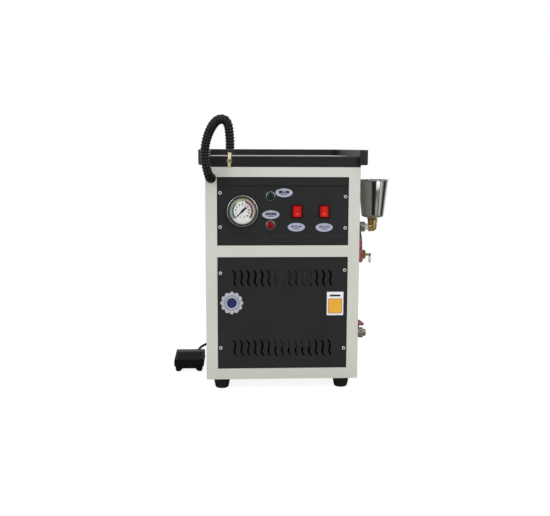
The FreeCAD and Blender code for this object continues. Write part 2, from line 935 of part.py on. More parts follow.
def louvre_panel():
    low, high = louvre_bottom + panel_gap, louvre_top - panel_gap
    wide = opening_half - panel_gap
    panel = block((-wide, wide), (louvre_face, louvre_face + sheet), (low, high))
    slots = []
    for share in slot_row_shares:
        z = louvre_bottom + share * (louvre_top - louvre_bottom)
        for i in range(slot_columns):
            slots.append(wavy_slot((i - (slot_columns - 1) / 2) * slot_pitch, z))
    panel = panel.cut(Part.makeCompound(slots))
    return panel.cut(screw_holes(louvre_screws, louvre_face, overrun))


def label_plates():
    plates = []
    for x, z in oval_places:
        oval = Part.Ellipse(CENTRE, oval_width / 2, oval_height / 2).toShape()
        plate = Part.Face(Part.Wire([oval])).extrude(UP * plate_thickness)
        plate.rotate(CENTRE, RIGHT, 90)
        plate.translate(Vector(x, control_face, z))
        plates.append(plate)
    plates.append(rod(Vector(seal_x, louvre_face, seal_height), FRONT,
                      seal_radius, sticker_thickness))
    card = block((card_x - card_width / 2, card_x + card_width / 2),
                 (louvre_face - sticker_thickness, louvre_face),
                 (card_height - card_length / 2, card_height + card_length / 2))
    plates.append(eased(card, card_round, lambda e: along(e, BACK)))
    return plates


# Pressure gauge


def gauge_place(out):
    """The point on the gauge's axis that far in front of the panel."""
    return Vector(gauge_x, control_face - out, gauge_height)


def gauge_case():
    """The steel case with its flange and collar, the movement's post and the threaded stem."""
    inner = gauge_case_radius - gauge_wall
    post_bore = arbor_radius + running_fit
    case = turned([
        (0, -gauge_depth),
        (gauge_case_radius, -gauge_depth),
        (gauge_case_radius, 0),
        (gauge_flange_radius, 0),
        (gauge_flange_radius, gauge_flange),
        (gauge_case_radius, gauge_flange),
        (gauge_case_radius, gauge_collar),
        (inner, gauge_collar),
        (inner, -gauge_depth + gauge_wall),
        (movement_radius, -gauge_depth + gauge_wall),
        (movement_radius, gauge_flange),
        (post_bore, gauge_flange),
        (post_bore, gauge_flange - arbor_length - needle_hub_height),
        (0, gauge_flange - arbor_length - needle_hub_height),
    ], gauge_place(0), FRONT)
    stem = rod(gauge_place(-gauge_depth), BACK, gauge_stem_radius, gauge_stem_length)
    studs = [rod(gauge_place(-gauge_depth) + UP * (side * clamp_stud_spread), BACK,
                 clamp_stud_radius, clamp_stud_length) for side in (-1, 1)]
    return joined([case, stem] + studs)


def gauge_bezel():
    inner = gauge_case_radius + gauge_fit
    lip = gauge_collar + gauge_lens_thickness
    ease = (gauge_bezel_height - lip) / 2
    return turned([
        (inner, gauge_flange),
        (gauge_bezel_radius, gauge_flange),
        (gauge_bezel_radius, gauge_bezel_height - 2 * ease),
        (gauge_bezel_radius - ease / 3, gauge_bezel_height - ease,
         gauge_bezel_radius - 2 * ease, gauge_bezel_height),
        (gauge_window_radius + ease, gauge_bezel_height),
        (gauge_window_radius, lip),
        (inner, lip),
    ], gauge_place(0), FRONT)


def gauge_lens():
    return rod(gauge_place(gauge_collar), FRONT, gauge_case_radius, gauge_lens_thickness)


def gauge_dial():
    radius = gauge_case_radius - gauge_wall - gauge_fit
    dial = rod(gauge_place(gauge_flange), FRONT, radius, gauge_dial_thickness)
    return dial.cut(rod(gauge_place(0), FRONT, arbor_radius + gauge_fit, gauge_collar))


def gauge_needle():
    """Pointer, tail, hub and arbor in one piece, at the zero mark."""
    base = gauge_flange + gauge_dial_thickness + needle_lift
    pointer = [
        Vector(0, needle_root_width / 2, 0),
        Vector(needle_length, needle_tip_width / 2, 0),
        Vector(needle_length, -needle_tip_width / 2, 0),
        Vector(0, -needle_root_width / 2, 0),
    ]
    tail = [
        Vector(0, needle_root_width / 2, 0),
        Vector(0, -needle_root_width / 2, 0),
        Vector(-needle_tail, -needle_tail_width / 2, 0),
        Vector(-needle_tail, needle_tail_width / 2, 0),
    ]
    blade = joined([outline_face(points).extrude(UP * needle_thickness)
                    for points in (pointer, tail)])
    hub = rod(CENTRE, UP, needle_hub_radius, needle_hub_height)
    arbor = rod(UP * needle_thickness, DOWN, arbor_radius,
                needle_thickness + base - gauge_flange + arbor_length)
    needle = joined([blade, hub, arbor])
    needle.rotate(CENTRE, UP, needle_zero_angle)
    needle.rotate(CENTRE, RIGHT, 90)
    needle.translate(gauge_place(base))
    return needle


def gauge_clamp():
    """The bow that draws the gauge to the panel from behind, with its two nuts."""
    back = gauge_place(-gauge_depth)
    low, high = back.z - clamp_reach, back.z + clamp_reach
    half = clamp_bar_width / 2
    bar_y = back.y + clamp_thickness
    sides = (back.x - half, back.x + half)
    bow = joined([
        block(sides, (back.y, bar_y), (low, high)),
        block(sides, (control_back, bar_y), (low, low + clamp_thickness)),
        block(sides, (control_back, bar_y), (high - clamp_thickness, high)),
    ])
    bow = bow.cut(rod(back + FRONT * overrun, BACK, gauge_stem_radius + gauge_fit, 3 * overrun))
    solids = []
    for side in (-1, 1):
        stud = back + UP * (side * clamp_stud_spread)
        bow = bow.cut(rod(stud + FRONT * overrun, BACK, clamp_stud_radius + gauge_fit,
                          3 * overrun))
        nut = hexagon(stud + BACK * clamp_thickness, BACK, clamp_nut_across_flats,
                      clamp_nut_height)
        solids.append(nut.cut(rod(stud, BACK, clamp_stud_radius, 3 * overrun)))
    return [bow] + solids


# Pilot lamps and rocker switches


def lamp_place(height):
    return Vector(lamp_x, control_face, height)


def pilot_lamps():
    """Two chrome-rimmed lamp holders, each with its nut and pins behind the panel."""
    solids = []
    seat = lamp_lens_radius + lamp_fit
    ease = lamp_bezel_height / 2
    for height in (green_lamp_height, red_lamp_height):
        place = lamp_place(height)
        holder = turned([
            (0, -lamp_barrel_length),
            (lamp_barrel_radius, -lamp_barrel_length),
            (lamp_barrel_radius, 0),
            (lamp_bezel_radius, 0),
            (lamp_bezel_radius, ease),
            (lamp_bezel_radius - ease / 3, lamp_bezel_height - ease / 3,
             lamp_bezel_radius - ease, lamp_bezel_height),
            (seat, lamp_bezel_height),
            (seat, -lamp_lens_seat),
            (0, -lamp_lens_seat),
        ], place, FRONT)
        pins = [rod(place + BACK * lamp_barrel_length + RIGHT * (side * lamp_pin_spread), BACK,
                    lamp_pin_radius, lamp_pin_length) for side in (-1, 1)]
        nut = hexagon(place + BACK * sheet, BACK, lamp_nut_across_flats, lamp_nut_height)
        nut = nut.cut(rod(place, BACK, lamp_barrel_radius + lamp_fit, lamp_barrel_length))
        solids += [joined([holder] + pins), nut]
    return solids


def lamp_lens(height):
    """A flat-sided lens with a low crown."""
    return turned([
        (0, -lamp_lens_seat),
        (lamp_lens_radius, -lamp_lens_seat),
        (lamp_lens_radius, lamp_lens_side),
        cap_arc(lamp_lens_radius, lamp_lens_side, lamp_lens_crown),
    ], lamp_place(height), FRONT)


def rocker_pivot(x):
    return Vector(x, control_face - rocker_bezel_height + rocker_pivot_depth, rocker_height)


def switch_housings():
    """Two black housings: a rimmed bezel, a well for the rocker and three blades behind."""
    solids = []
    for x in rocker_places_x:
        half_x, half_z = rocker_bezel_width / 2, rocker_bezel_length / 2
        bezel = block((x - half_x, x + half_x),
                      (control_face - rocker_bezel_height, control_face),
                      (rocker_height - half_z, rocker_height + half_z))
        bezel = eased(bezel, rocker_bezel_round, lambda e: along(e, BACK))
        bezel = eased(bezel, rocker_bezel_height / 3,
                      lambda e: middle(e).y < control_face - rocker_bezel_height + seam)
        half_x, half_z = rocker_body_width / 2, rocker_body_length / 2
        back = control_face + rocker_body_depth
        body = block((x - half_x, x + half_x), (control_face, back),
                     (rocker_height - half_z, rocker_height + half_z))
        blades = []
        for step in (-1, 0, 1):
            z = rocker_height + step * blade_rise
            blades.append(block((x - blade_width / 2, x + blade_width / 2),
                                (back, back + blade_length),
                                (z - blade_thickness / 2, z + blade_thickness / 2)))
        housing = joined([bezel, body] + blades)
        half_x = rocker_width / 2 + rocker_side_gap
        half_z = rocker_reach + rocker_end_gap
        housing = housing.cut(block((x - half_x, x + half_x),
                                    (control_face - rocker_bezel_height - overrun,
                                     control_face + rocker_well_depth),
                                    (rocker_height - half_z, rocker_height + half_z)))
        reach = half_x + rocker_pin_length + running_fit - rocker_side_gap
        pin_hole = rod(rocker_pivot(x) + LEFT * reach, RIGHT,
                       rocker_pin_radius + running_fit, 2 * reach)
        solids.append(housing.cut(pin_hole))
    return solids


def rocker(x):
    """A rocker with a shallow valley across its face, its upper end pressed in."""
    reach = rocker_reach
    end, foot = math.radians(rocker_end_angle), math.radians(rocker_foot_angle)
    end_z, end_out = reach * math.cos(end), reach * math.sin(end)
    valley = end_out - end_z * math.tan(math.radians(rocker_tilt))
    foot_z, foot_in = reach * math.cos(foot), -reach * math.sin(foot)
    corners = [
        Vector(0, -end_out, end_z),
        Vector(0, -valley, 0),
        Vector(0, -end_out, -end_z),
        (Vector(0, 0, -reach), Vector(0, -foot_in, -foot_z)),
        Vector(0, -foot_in, foot_z),
        (Vector(0, 0, reach), Vector(0, -end_out, end_z)),
    ]
    face = outline_face(corners)
    cap = face.extrude(RIGHT * rocker_width)
    cap.translate(LEFT * (rocker_width / 2))
    pin_reach = rocker_width / 2 + rocker_pin_length
    cap = cap.fuse(rod(LEFT * pin_reach, RIGHT, rocker_pin_radius, 2 * pin_reach))
    cap = cap.removeSplitter()
    cap.rotate(CENTRE, RIGHT, -rocker_tilt)
    cap.translate(rocker_pivot(x))
    return cap


# Tubes


class Route:
    """Straight runs joined by tangent arcs, through corners given as points."""

    def __init__(self, points, radius=None):
        points = [Vector(*point) for point in points]
        kept = points[:1]
        for point in points[1:]:
            if point.distanceToPoint(kept[-1]) > seam:
                kept.append(point)
        self.points = kept
        self.radii = []
        self.pieces = []
        last = kept[0]
        for before, corner, after in zip(kept, kept[1:], kept[2:]):
            inward, outward = (corner - before).normalize(), (after - corner).normalize()
            half_turn = inward.getAngle(outward) / 2
            if half_turn < seam / 1000:
                continue
            shorter = min(before.distanceToPoint(corner), corner.distanceToPoint(after))
            largest = bend_share * shorter / math.tan(half_turn)
            bend = min(radius, largest) if radius else largest
            cut = bend * math.tan(half_turn)
            start, end = corner - inward * cut, corner + outward * cut
            centre_way = (outward - inward).normalize()
            centre = corner + centre_way * (bend / math.cos(half_turn))
            self.pieces.append((last, start, None))
            self.pieces.append((start, end, centre - centre_way * bend))
            self.radii.append(bend)
            last = end
        self.pieces.append((last, kept[-1], None))

    def wire(self):
        edges = []
        for start, end, mid in self.pieces:
            if mid is None:
                edges.append(Part.LineSegment(start, end).toShape())
            else:
                edges.append(Part.Arc(start, mid, end).toShape())
        return Part.Wire(edges)


def swept(wire, radius):
    """A round tube's outside along a wire, as a solid."""
    first = wire.OrderedEdges[0]
    start = first.valueAt(first.FirstParameter)
    heading = first.tangentAt(first.FirstParameter)
    ring = Part.Wire([Part.makeCircle(radius, start, heading)])
    return wire.makePipeShell([ring], True, False)


def report_tube(name, route, solid, radius):
    length = route.wire().Length
    share = solid.Volume / (math.pi * radius * radius * length)
    radii = " ".join("%.0f" % bend for bend in route.radii)
    print("%s: length %.0f, volume share %.4f, radii %s" % (name, length, share, radii))


# Steam hose


def hose_gland():
    """A collar on the column, a barrel through it and a nut behind."""
    barrel = turned([
        (gland_bore_radius, -gland_barrel_length),
        (gland_barrel_radius, -gland_barrel_length),
        (gland_barrel_radius, 0),
        (gland_collar_radius, 0),
        (gland_collar_radius, gland_collar),
        (gland_bore_radius, gland_collar),
    ], gland_place, FRONT)
    nut = hexagon(gland_place + BACK * sheet, BACK, gland_nut_across_flats, gland_nut_height)
    return [barrel, nut.cut(rod(gland_place, BACK, gland_barrel_radius + pipe_fit,
                                gland_barrel_length))]


hose_line = Route([gland_place + FRONT * gland_collar]
                  + [gland_place + Vector(*offset) for offset in hose_offsets])


def station(wire, distance):
    """The place and the heading at a distance along a wire."""
    left = distance
    for edge in wire.OrderedEdges:
        if left <= edge.Length + seam / 1000:
            break
        left -= edge.Length
    place = edge.getParameterByLength(min(left, edge.Length))
    return edge.valueAt(place), edge.tangentAt(place)


def ribbed_loft():
    """The hose's ribbed outside: four circles for each rib, joined by ruled bands."""
    wire = hose_line.wire()
    ribs = round(wire.Length / hose_rib_pitch)
    pitch = wire.Length / ribs
    flank, crest = rib_flank_share, rib_crest_share
    stations = [(0, hose_valley_radius)]
    for i in range(ribs):
        start = (1 - crest) / 2 - flank
        for share, radius in ((start, hose_valley_radius), (start + flank, hose_radius),
                              (start + flank + crest, hose_radius),
                              (start + 2 * flank + crest, hose_valley_radius)):
            stations.append(((i + share) * pitch, radius))
    stations.append((wire.Length, hose_valley_radius))
    rings = []
    axis = RIGHT
    for distance, radius in stations:
        place, heading = station(wire, distance)
        axis = (axis - heading * axis.dot(heading)).normalize()
        circle = Part.Circle(place, heading, radius)
        circle.XAxis = axis
        rings.append(Part.Wire([circle.toShape()]))
    return Part.makeLoft(rings, True, True)


def steam_hose():
    wire = hose_line.wire()
    outside = ribbed_loft()
    bore = swept(wire, hose_bore_radius)
    mean = (hose_radius + hose_valley_radius) / 2
    report_tube("steam_hose at its mean radius", hose_line, outside, mean)
    return outside.cut(bore)


def hose_end():
    """The hose's last point and its heading there."""
    last, before = hose_line.points[-1], hose_line.points[-2]
    return last, (last - before).normalize()


def hose_ferrule():
    end, heading = hose_end()
    return turned([
        (ferrule_bore_radius, -ferrule_plug_depth),
        (hose_bore_radius - pipe_fit, -ferrule_plug_depth),
        (hose_bore_radius - pipe_fit, 0),
        (ferrule_radius, 0),
        (ferrule_radius, ferrule_length / 2),
        (ferrule_end_radius, ferrule_length),
        (ferrule_bore_radius, ferrule_length),
    ], end, heading)


def steam_nozzle():
    """Brass: a collar, a groove, a hexagon for the spanner and a tapered tip."""
    end, heading = hose_end()
    base = end + heading * ferrule_length
    groove = nozzle_collar_length
    hex_start = groove + nozzle_groove_length
    hex_end = hex_start + nozzle_hex_length
    body = turned([
        (0, -nozzle_shank_length),
        (nozzle_shank_radius, -nozzle_shank_length),
        (nozzle_shank_radius, 0),
        (nozzle_collar_radius, 0),
        (nozzle_collar_radius, groove),
        (nozzle_groove_radius, groove),
        (nozzle_groove_radius, hex_end),
        (nozzle_tip_radius, nozzle_length),
        (0, nozzle_length),
    ], base, heading)
    body = joined([body, hexagon(base + heading * hex_start, heading,
                                 nozzle_hex_across_flats, nozzle_hex_length)])
    return body.cut(rod(base - heading * (nozzle_shank_length + overrun), heading,
                        nozzle_bore_radius, nozzle_length + nozzle_shank_length + 2 * overrun))


# Filler cup and pipes


def filler_cup():
    """Spun steel: a rolled rim, sides that lean in and a rounded foot with a hole."""
    low, high = cup_bottom_height, cup_rim_height
    lean = (cup_rim_radius - cup_foot_radius) / (high - low)
    side = cup_foot_radius + lean * cup_foot_round
    bulge = cup_foot_round * (1 - math.sqrt(0.5))
    hole = tail_radius + pipe_fit
    inner_low = low + cup_wall
    inner_round = cup_foot_round - cup_wall
    inner_bulge = inner_round * (1 - math.sqrt(0.5))
    cup = turned([
        (hole, low),
        (side - cup_foot_round, low),
        (side - bulge, low + bulge, side, low + cup_foot_round),
        (cup_rim_radius, high - cup_bead_radius),
        (cup_rim_radius - cup_wall, high - cup_bead_radius),
        (side - cup_wall, inner_low + inner_round),
        (side - cup_wall - inner_bulge, inner_low + inner_bulge,
         side - cup_wall - inner_round, inner_low),
        (hole, inner_low),
    ], Vector(cup_x, valve_line_y, 0), UP)
    bead = Part.makeTorus(cup_rim_radius, cup_bead_radius,
                          Vector(cup_x, valve_line_y, high - cup_bead_radius), UP)
    return joined([cup, bead])


def cup_fastening():
    """The threaded tail inside the cup and the nut below it."""
    nut_low = cup_bottom_height - cup_nut_height
    place = Vector(cup_x, valve_line_y, 0)
    inside = cup_bottom_height + cup_wall
    tail = turned([
        (tail_bore_radius, nut_low - tail_reach),
        (tail_radius, nut_low - tail_reach),
        (tail_radius, inside),
        (tail_flange_radius, inside),
        (tail_flange_radius, inside + tail_flange),
        (tail_bore_radius, inside + tail_flange),
    ], place, UP)
    nut = hexagon(place + UP * nut_low, UP, cup_nut_across_flats, cup_nut_height)
    return [tail, nut.cut(rod(place + UP * (nut_low - overrun), UP, tail_radius + pipe_fit,
                              cup_nut_height + 2 * overrun))]


def filler_elbow():
    """A cast elbow from under the cup round to the feed valve, with beaded ends."""
    centre = Vector(cup_x, valve_line_y, feed_height)
    top = cup_bottom_height - cup_nut_height
    arm_up = top - feed_height
    arm_left = elbow_arm
    solids = [
        Part.makeSphere(elbow_radius, centre),
        rod(centre, UP, elbow_radius, arm_up),
        rod(centre, LEFT, elbow_radius, arm_left),
        rod(centre + UP * (arm_up - elbow_bead), UP, elbow_bead_radius, elbow_bead),
        rod(centre + LEFT * (arm_left - elbow_bead / 2), LEFT, elbow_bead_radius,
            elbow_bead / 2),
    ]
    elbow = joined(solids)
    bore = nipple_radius + pipe_fit
    cuts = [rod(centre, UP, tail_radius + pipe_fit, arm_up + overrun),
            rod(centre, LEFT, bore, arm_left + overrun)]
    return elbow.cut(joined(cuts))


def nipple(start_x, end_x, height):
    start = Vector(start_x, valve_line_y, height)
    tube = rod(start, RIGHT, nipple_radius, end_x - start_x)
    return tube.cut(rod(start + LEFT * overrun, RIGHT, nipple_bore_radius,
                        end_x - start_x + 2 * overrun))


def boiler_port_x():
    return boiler_x + boiler_radius + boss_length


def pipe_nipples():
    """The short pipes at the three valves: one between cup and valve, three through the wall."""
    elbow_face = cup_x - elbow_arm
    inward = half_width - flange
    return [
        nipple(valve_end_x - nipple_entry, elbow_face + nipple_entry, feed_height),
        nipple(inward, valve_start_x + nipple_entry, feed_height),
        nipple(boiler_port_x() - nipple_entry, safety_start_x + nipple_entry, safety_height),
        nipple(boiler_port_x() - nipple_entry, valve_start_x + nipple_entry, drain_height),
    ]


# Ball valves. Each is made lying along X with its stem up and its closed lever towards the
# front, and then turned about X if its stem points elsewhere.


def valve_body(height, outlet):
    """Two hexagon ends, a round waist, a neck for the stem, the ball's chamber and any outlet."""
    start = Vector(valve_start_x, valve_line_y, height)
    centre = Vector(valve_middle_x, valve_line_y, height)
    body = joined([
        hexagon(start, RIGHT, valve_across_flats, valve_end),
        rod(start, RIGHT, valve_waist_radius, valve_length),
        hexagon(start + RIGHT * (valve_length - valve_end), RIGHT, valve_across_flats, valve_end),
        rod(centre, UP, valve_neck_radius, valve_neck_height),
        rod(centre, RIGHT, outlet_radius, valve_length / 2 + outlet),
    ])
    socket = nipple_radius + pipe_fit
    entry = nipple_entry + pipe_fit
    body = body.cut(joined([
        rod(start + LEFT * overrun, RIGHT, nipple_bore_radius,
            valve_length + outlet + 2 * overrun),
        rod(start + LEFT * overrun, RIGHT, socket, entry + overrun),
        rod(start + RIGHT * (valve_length - entry), RIGHT, socket, entry + outlet + overrun),
        Part.makeSphere(valve_ball_radius + valve_ball_gap, centre),
        rod(centre, UP, stem_radius + running_fit, valve_neck_height + overrun),
    ]))
    return body


def valve_spindle(height):
    """Ball and stem in one, and the nut that holds the lever on."""
    centre = Vector(valve_middle_x, valve_line_y, height)
    lever_base = valve_neck_height + seam
    ball = Part.makeSphere(valve_ball_radius, centre)
    ball = ball.cut(rod(centre + FRONT * (2 * valve_ball_radius), BACK, valve_ball_bore_radius,
                        4 * valve_ball_radius))
    nut_base = centre + UP * (lever_base + lever_thickness)
    stem = rod(centre + UP * (valve_ball_radius / 2 + valve_ball_bore_radius / 2), UP, stem_radius,
               lever_base - valve_ball_radius / 2 - valve_ball_bore_radius / 2)
    tip = rod(centre + UP * lever_base, UP, stem_flat, lever_thickness + lever_nut_height
              + stem_rise / 3)
    nut = hexagon(nut_base, UP, lever_nut_across_flats, lever_nut_height)
    nut = nut.cut(rod(nut_base + DOWN * overrun, UP, stem_flat, lever_nut_height + 2 * overrun))
    return [joined([ball, stem, tip]), nut]


def grip_outline(width_start, width_end, start, end):
    """A grip's outline from near the stem towards the front, with a round tip."""
    tip = end - width_end / 2
    return [
        Vector(-width_start / 2, -start, 0),
        Vector(-width_end / 2, -tip, 0),
        (Vector(0, -end, 0), Vector(width_end / 2, -tip, 0)),
        Vector(width_start / 2, -start, 0),
    ]


def valve_lever(height, grip_end):
    """A pressed strip that steps up from the stem to the level of its grip."""
    base = Vector(valve_middle_x, valve_line_y, height + valve_neck_height + seam)
    step_end = lever_flat + lever_joggle_run
    line = [
        (0, 0),
        (lever_flat, 0),
        (step_end, lever_joggle_rise),
        (grip_end - 2 * grip_edge_round, lever_joggle_rise),
    ]
    side = LEFT * (lever_neck_width / 2)
    corners = [base + side + FRONT * out + UP * up for out, up in line]
    corners += [corner + UP * lever_thickness for corner in reversed(corners)]
    strip = outline_face(corners).extrude(RIGHT * lever_neck_width)
    lever = joined([strip, rod(base, UP, lever_hub_radius, lever_thickness)])
    return lever.cut(rod(base + DOWN * overrun, UP, stem_flat + grip_fit, 3 * overrun))


def valve_grip(height, grip_start, grip_end, grip_width, lever):
    """A dipped vinyl sleeve that widens to a round tip, with the lever's end inside."""
    below = (grip_thickness - lever_thickness) / 2
    base = Vector(valve_middle_x, valve_line_y,
                  height + valve_neck_height + seam + lever_joggle_rise - below)
    grip = outline_face(grip_outline(grip_start_width, grip_width, grip_start, grip_end))
    grip = grip.extrude(UP * grip_thickness)
    grip = eased(grip, grip_edge_round, lambda e: abs(middle(e).y) > grip_start + seam
                 and not along(e, UP))
    grip.translate(base)
    return grip.cut(lever)


def ball_valve(height, stem_direction, grip_start, grip_end, grip_width):
    """Body, spindle, lever and grip of one valve, with its stem turned to a direction."""
    lever = valve_lever(height, grip_end)
    grip = valve_grip(height, grip_start, grip_end, grip_width, lever)
    outlet = outlet_length if stem_direction == UP else 0
    groups = [[valve_body(height, outlet)], valve_spindle(height), [lever], [grip]]
    if stem_direction == FRONT:
        centre = Vector(valve_middle_x, valve_line_y, height)
        for group in groups:
            for solid in group:
                solid.rotate(centre, RIGHT, 90)
    return groups


# Safety valve


def safety_parts():
    """Body with its spring chamber, and the stem with its disc and cross-drilled eye."""
    place = Vector(safety_start_x, valve_line_y, safety_height)
    hex_start = safety_barrel_length
    end = hex_start + safety_hex_length
    socket = nipple_radius + pipe_fit
    seat = safety_seat_length
    body = turned([
        (socket, 0),
        (safety_barrel_radius, 0),
        (safety_barrel_radius, hex_start - safety_collar_length),
        (safety_collar_radius, hex_start - safety_collar_length),
        (safety_collar_radius, hex_start),
        (safety_barrel_radius, hex_start),
        (safety_barrel_radius, end),
        (safety_stem_radius + running_fit, end),
        (safety_stem_radius + running_fit, end - safety_cap),
        (safety_chamber_radius, end - safety_cap),
        (safety_chamber_radius, seat),
        (safety_stem_radius + running_fit, seat),
        (safety_stem_radius + running_fit, seat - seam),
        (socket, seat - seam),
    ], place, RIGHT)
    cap = hexagon(place + RIGHT * hex_start, RIGHT, safety_hex_across_flats, safety_hex_length)
    cap = cap.cut(rod(place, RIGHT, safety_chamber_radius, end + overrun))
    body = joined([body, cap])
    tip = end + safety_stem_reach
    eye = tip - safety_eye_radius
    stem = turned([
        (0, seat),
        (safety_disc_radius, seat),
        (safety_disc_radius, seat + safety_disc_length),
        (safety_stem_radius, seat + safety_disc_length),
        (safety_stem_radius, eye),
        (0, eye),
    ], place, RIGHT)
    eye_centre = place + RIGHT * eye
    disc = rod(eye_centre + FRONT * (safety_eye_thickness / 2), BACK, safety_eye_radius,
               safety_eye_thickness)
    stem = joined([stem, disc])
    stem = stem.cut(rod(eye_centre + FRONT * overrun, BACK, safety_eye_hole, 2 * overrun))
    ring = Part.makeTorus(ring_radius, ring_wire_radius, eye_centre + DOWN * ring_radius, RIGHT)
    return body, stem, ring


# Foot pedal

cover_half = pedal_cover_width / 2
base_half = cover_half - pedal_cover_wall - pedal_side_gap
pedal_pin_place = Vector(pedal_x, pedal_rear - pedal_pin_inset, pedal_pin_height)
pedal_floor = pedal_base_bottom + pedal_base_wall
spring_place = Vector(pedal_x, pedal_front + spring_seat_share * pedal_length, pedal_floor)


def cover_height(y):
    """Height of the cover's top at a place along the pedal."""
    share = (y - pedal_front) / pedal_length
    return pedal_front_height + share * (pedal_rear_height - pedal_front_height)


def pedal_treadle():
    """The cover: a top that rises to the back, two sides and a front lip."""
    def wedge(half, front_y, rear_y, drop):
        corners = [
            Vector(pedal_x - half, front_y, pedal_cover_skirt),
            Vector(pedal_x - half, rear_y, pedal_cover_skirt),
            Vector(pedal_x - half, rear_y, cover_height(rear_y) - drop),
            Vector(pedal_x - half, front_y, cover_height(front_y) - drop),
        ]
        return outline_face(corners).extrude(RIGHT * 2 * half)

    cover = wedge(cover_half, pedal_front, pedal_rear, 0)
    top_edges = pedal_front_height - seam
    cover = eased(cover, pedal_cover_round, lambda e: middle(e).z > top_edges
                  or along(e, UP) and middle(e).y < pedal_front + seam)
    inside = wedge(cover_half - pedal_cover_wall, pedal_front + pedal_cover_wall,
                   pedal_rear + overrun, pedal_cover_wall)
    inside.translate(DOWN * seam)
    room = block((pedal_x - cover_half + pedal_cover_wall, pedal_x + cover_half - pedal_cover_wall),
                 (pedal_front + pedal_cover_wall, pedal_rear + overrun),
                 (pedal_cover_skirt - overrun, pedal_cover_skirt + seam))
    cover = cover.cut(joined([inside, room]))
    return cover.cut(rod(pedal_pin_place + LEFT * (2 * cover_half), RIGHT,
                         pedal_pin_radius + running_fit, 4 * cover_half))


def pedal_base():
    """A shallow tub on four tapered feet, with ears for the pin and a gland for the cord."""
    front_y = pedal_front + pedal_base_inset
    sides = (pedal_x - base_half, pedal_x + base_half)
    tub = joined([
        block(sides, (front_y, pedal_rear), (pedal_base_bottom, pedal_base_height)),
        block(sides, (pedal_rear - pedal_ear_length, pedal_rear),
              (pedal_base_bottom, pedal_ear_height)),
    ])
    wall = pedal_base_wall
    tub = tub.cut(block((sides[0] + wall, sides[1] - wall), (front_y + wall, pedal_rear - wall),
                        (pedal_floor, pedal_ear_height + overrun)))
    feet = []
    for x in (-1, 1):
        for y in (front_y, pedal_rear - pedal_foot_depth):
            outer = pedal_x + x * base_half
            inner_top = outer - x * pedal_foot_top
            inner_bottom = outer - x * pedal_foot_bottom
            tuck = outer - x * (pedal_foot_top - pedal_foot_bottom) / 3
            feet.append(outline_face([
                Vector(outer, y, pedal_foot_height),
                Vector(tuck, y, 0),
                Vector(inner_bottom, y, 0),
                Vector(inner_top, y, pedal_foot_height),
            ]).extrude(BACK * pedal_foot_depth))
    gland_start = Vector(pedal_x + pedal_gland_offset_x, pedal_rear, pedal_gland_height)
    gland = rod(gland_start, BACK, pedal_gland_radius, pedal_gland_length)
    base = joined([tub, gland] + feet)
    base = base.cut(rod(gland_start + FRONT * (2 * wall), BACK, cord_core_radius,
                        2 * wall + 2 * pedal_gland_length))
    return base.cut(rod(pedal_pin_place + LEFT * (2 * base_half), RIGHT,
                        pedal_pin_radius + running_fit, 4 * base_half))


def pedal_pin():
    """The hinge pin, with a thin head at each end."""
    start = pedal_pin_place + LEFT * (cover_half + running_fit)
    length = 2 * cover_half + 2 * running_fit
    return joined([
        rod(start, RIGHT, pedal_pin_radius, length),
        rod(start, LEFT, pedal_pin_head_radius, pedal_pin_head),
        rod(start + RIGHT * length, RIGHT, pedal_pin_head_radius, pedal_pin_head),
    ])


def pedal_spring():
    """A coil spring between the tub's floor and the cover."""
    top = cover_height(spring_place.y - spring_radius) - pedal_cover_wall - seam
    height = top - pedal_floor - 2 * spring_gap - 2 * spring_wire_radius
    pitch = height / spring_turns
    helix = Part.makeHelix(pitch, height, spring_radius)
    start = Vector(spring_radius, 0, 0)
    heading = Vector(0, 2 * math.pi * spring_radius, pitch)
    ring = Part.Wire([Part.makeCircle(spring_wire_radius, start, heading)])
    spring = Part.Wire(helix).makePipeShell([ring], True, True)
    spring.translate(spring_place + UP * (spring_gap + spring_wire_radius))
    return spring


def pedal_switch():
    """A small snap switch on the tub's floor, with its button under the cover."""
    x = pedal_x - switch_offset_x
    y = pedal_front + switch_front_share * pedal_length
    body = block((x - switch_width / 2, x + switch_width / 2), (y, y + switch_length),
                 (pedal_floor, pedal_floor + switch_height))
    button = rod(Vector(x, y + switch_length / 3, pedal_floor + switch_height), UP,
                 switch_button_radius, switch_button_height)
    return joined([body, button])


# Pedal cord


def arc_from(start, heading, end):
    """The edge that leaves start along heading and ends at end, with its heading there."""
    chord = end - start
    way = Vector(chord).normalize()
    side = heading - way * heading.dot(way)
    half = heading.getAngle(way)
    if half < 1e-6:
        return Part.LineSegment(start, end).toShape(), heading
    side.normalize()
    bulge = chord.Length / 2 * math.tan(half / 2)
    mid = (start + end) * 0.5 + side * bulge
    return Part.Arc(start, mid, end).toShape(), way * math.cos(half) - side * math.sin(half)


def biarc(start, start_heading, end, end_heading):
    """Two tangent arcs from one point and heading to another."""
    chord = end - start
    total = start_heading + end_heading
    spread = 2 * (1 - start_heading.dot(end_heading))
    along_total = chord.dot(total)
    reach = (-along_total + math.sqrt(along_total ** 2 + spread * chord.dot(chord))) / spread
    joint = (start + start_heading * reach + end - end_heading * reach) * 0.5
    first, heading = arc_from(start, start_heading, joint)
    second, _ = arc_from(joint, heading, end)
    return [first, second]


def coil_point(turn):
    """A point of the coil: it spirals in on the floor, climbs, and spirals out on top."""
    half = coil_turns / 2
    away = abs(turn - half)
    quarter = 0.25
    if away >= quarter:
        radius = coil_radius - coil_pitch * (half - away)
    else:
        radius = coil_radius - coil_pitch * (half - quarter)
        radius += 2 * coil_pitch * (away ** 2 - quarter ** 2)
    climb = min(max((turn - half + quarter) / (2 * quarter), 0), 1)
    height = coil_floor + coil_layer * (1 - math.cos(math.pi * climb)) / 2
    angle = math.pi / 2 - 2 * math.pi * turn
    return Vector(coil_x + radius * math.cos(angle), coil_y + radius * math.sin(angle), height)


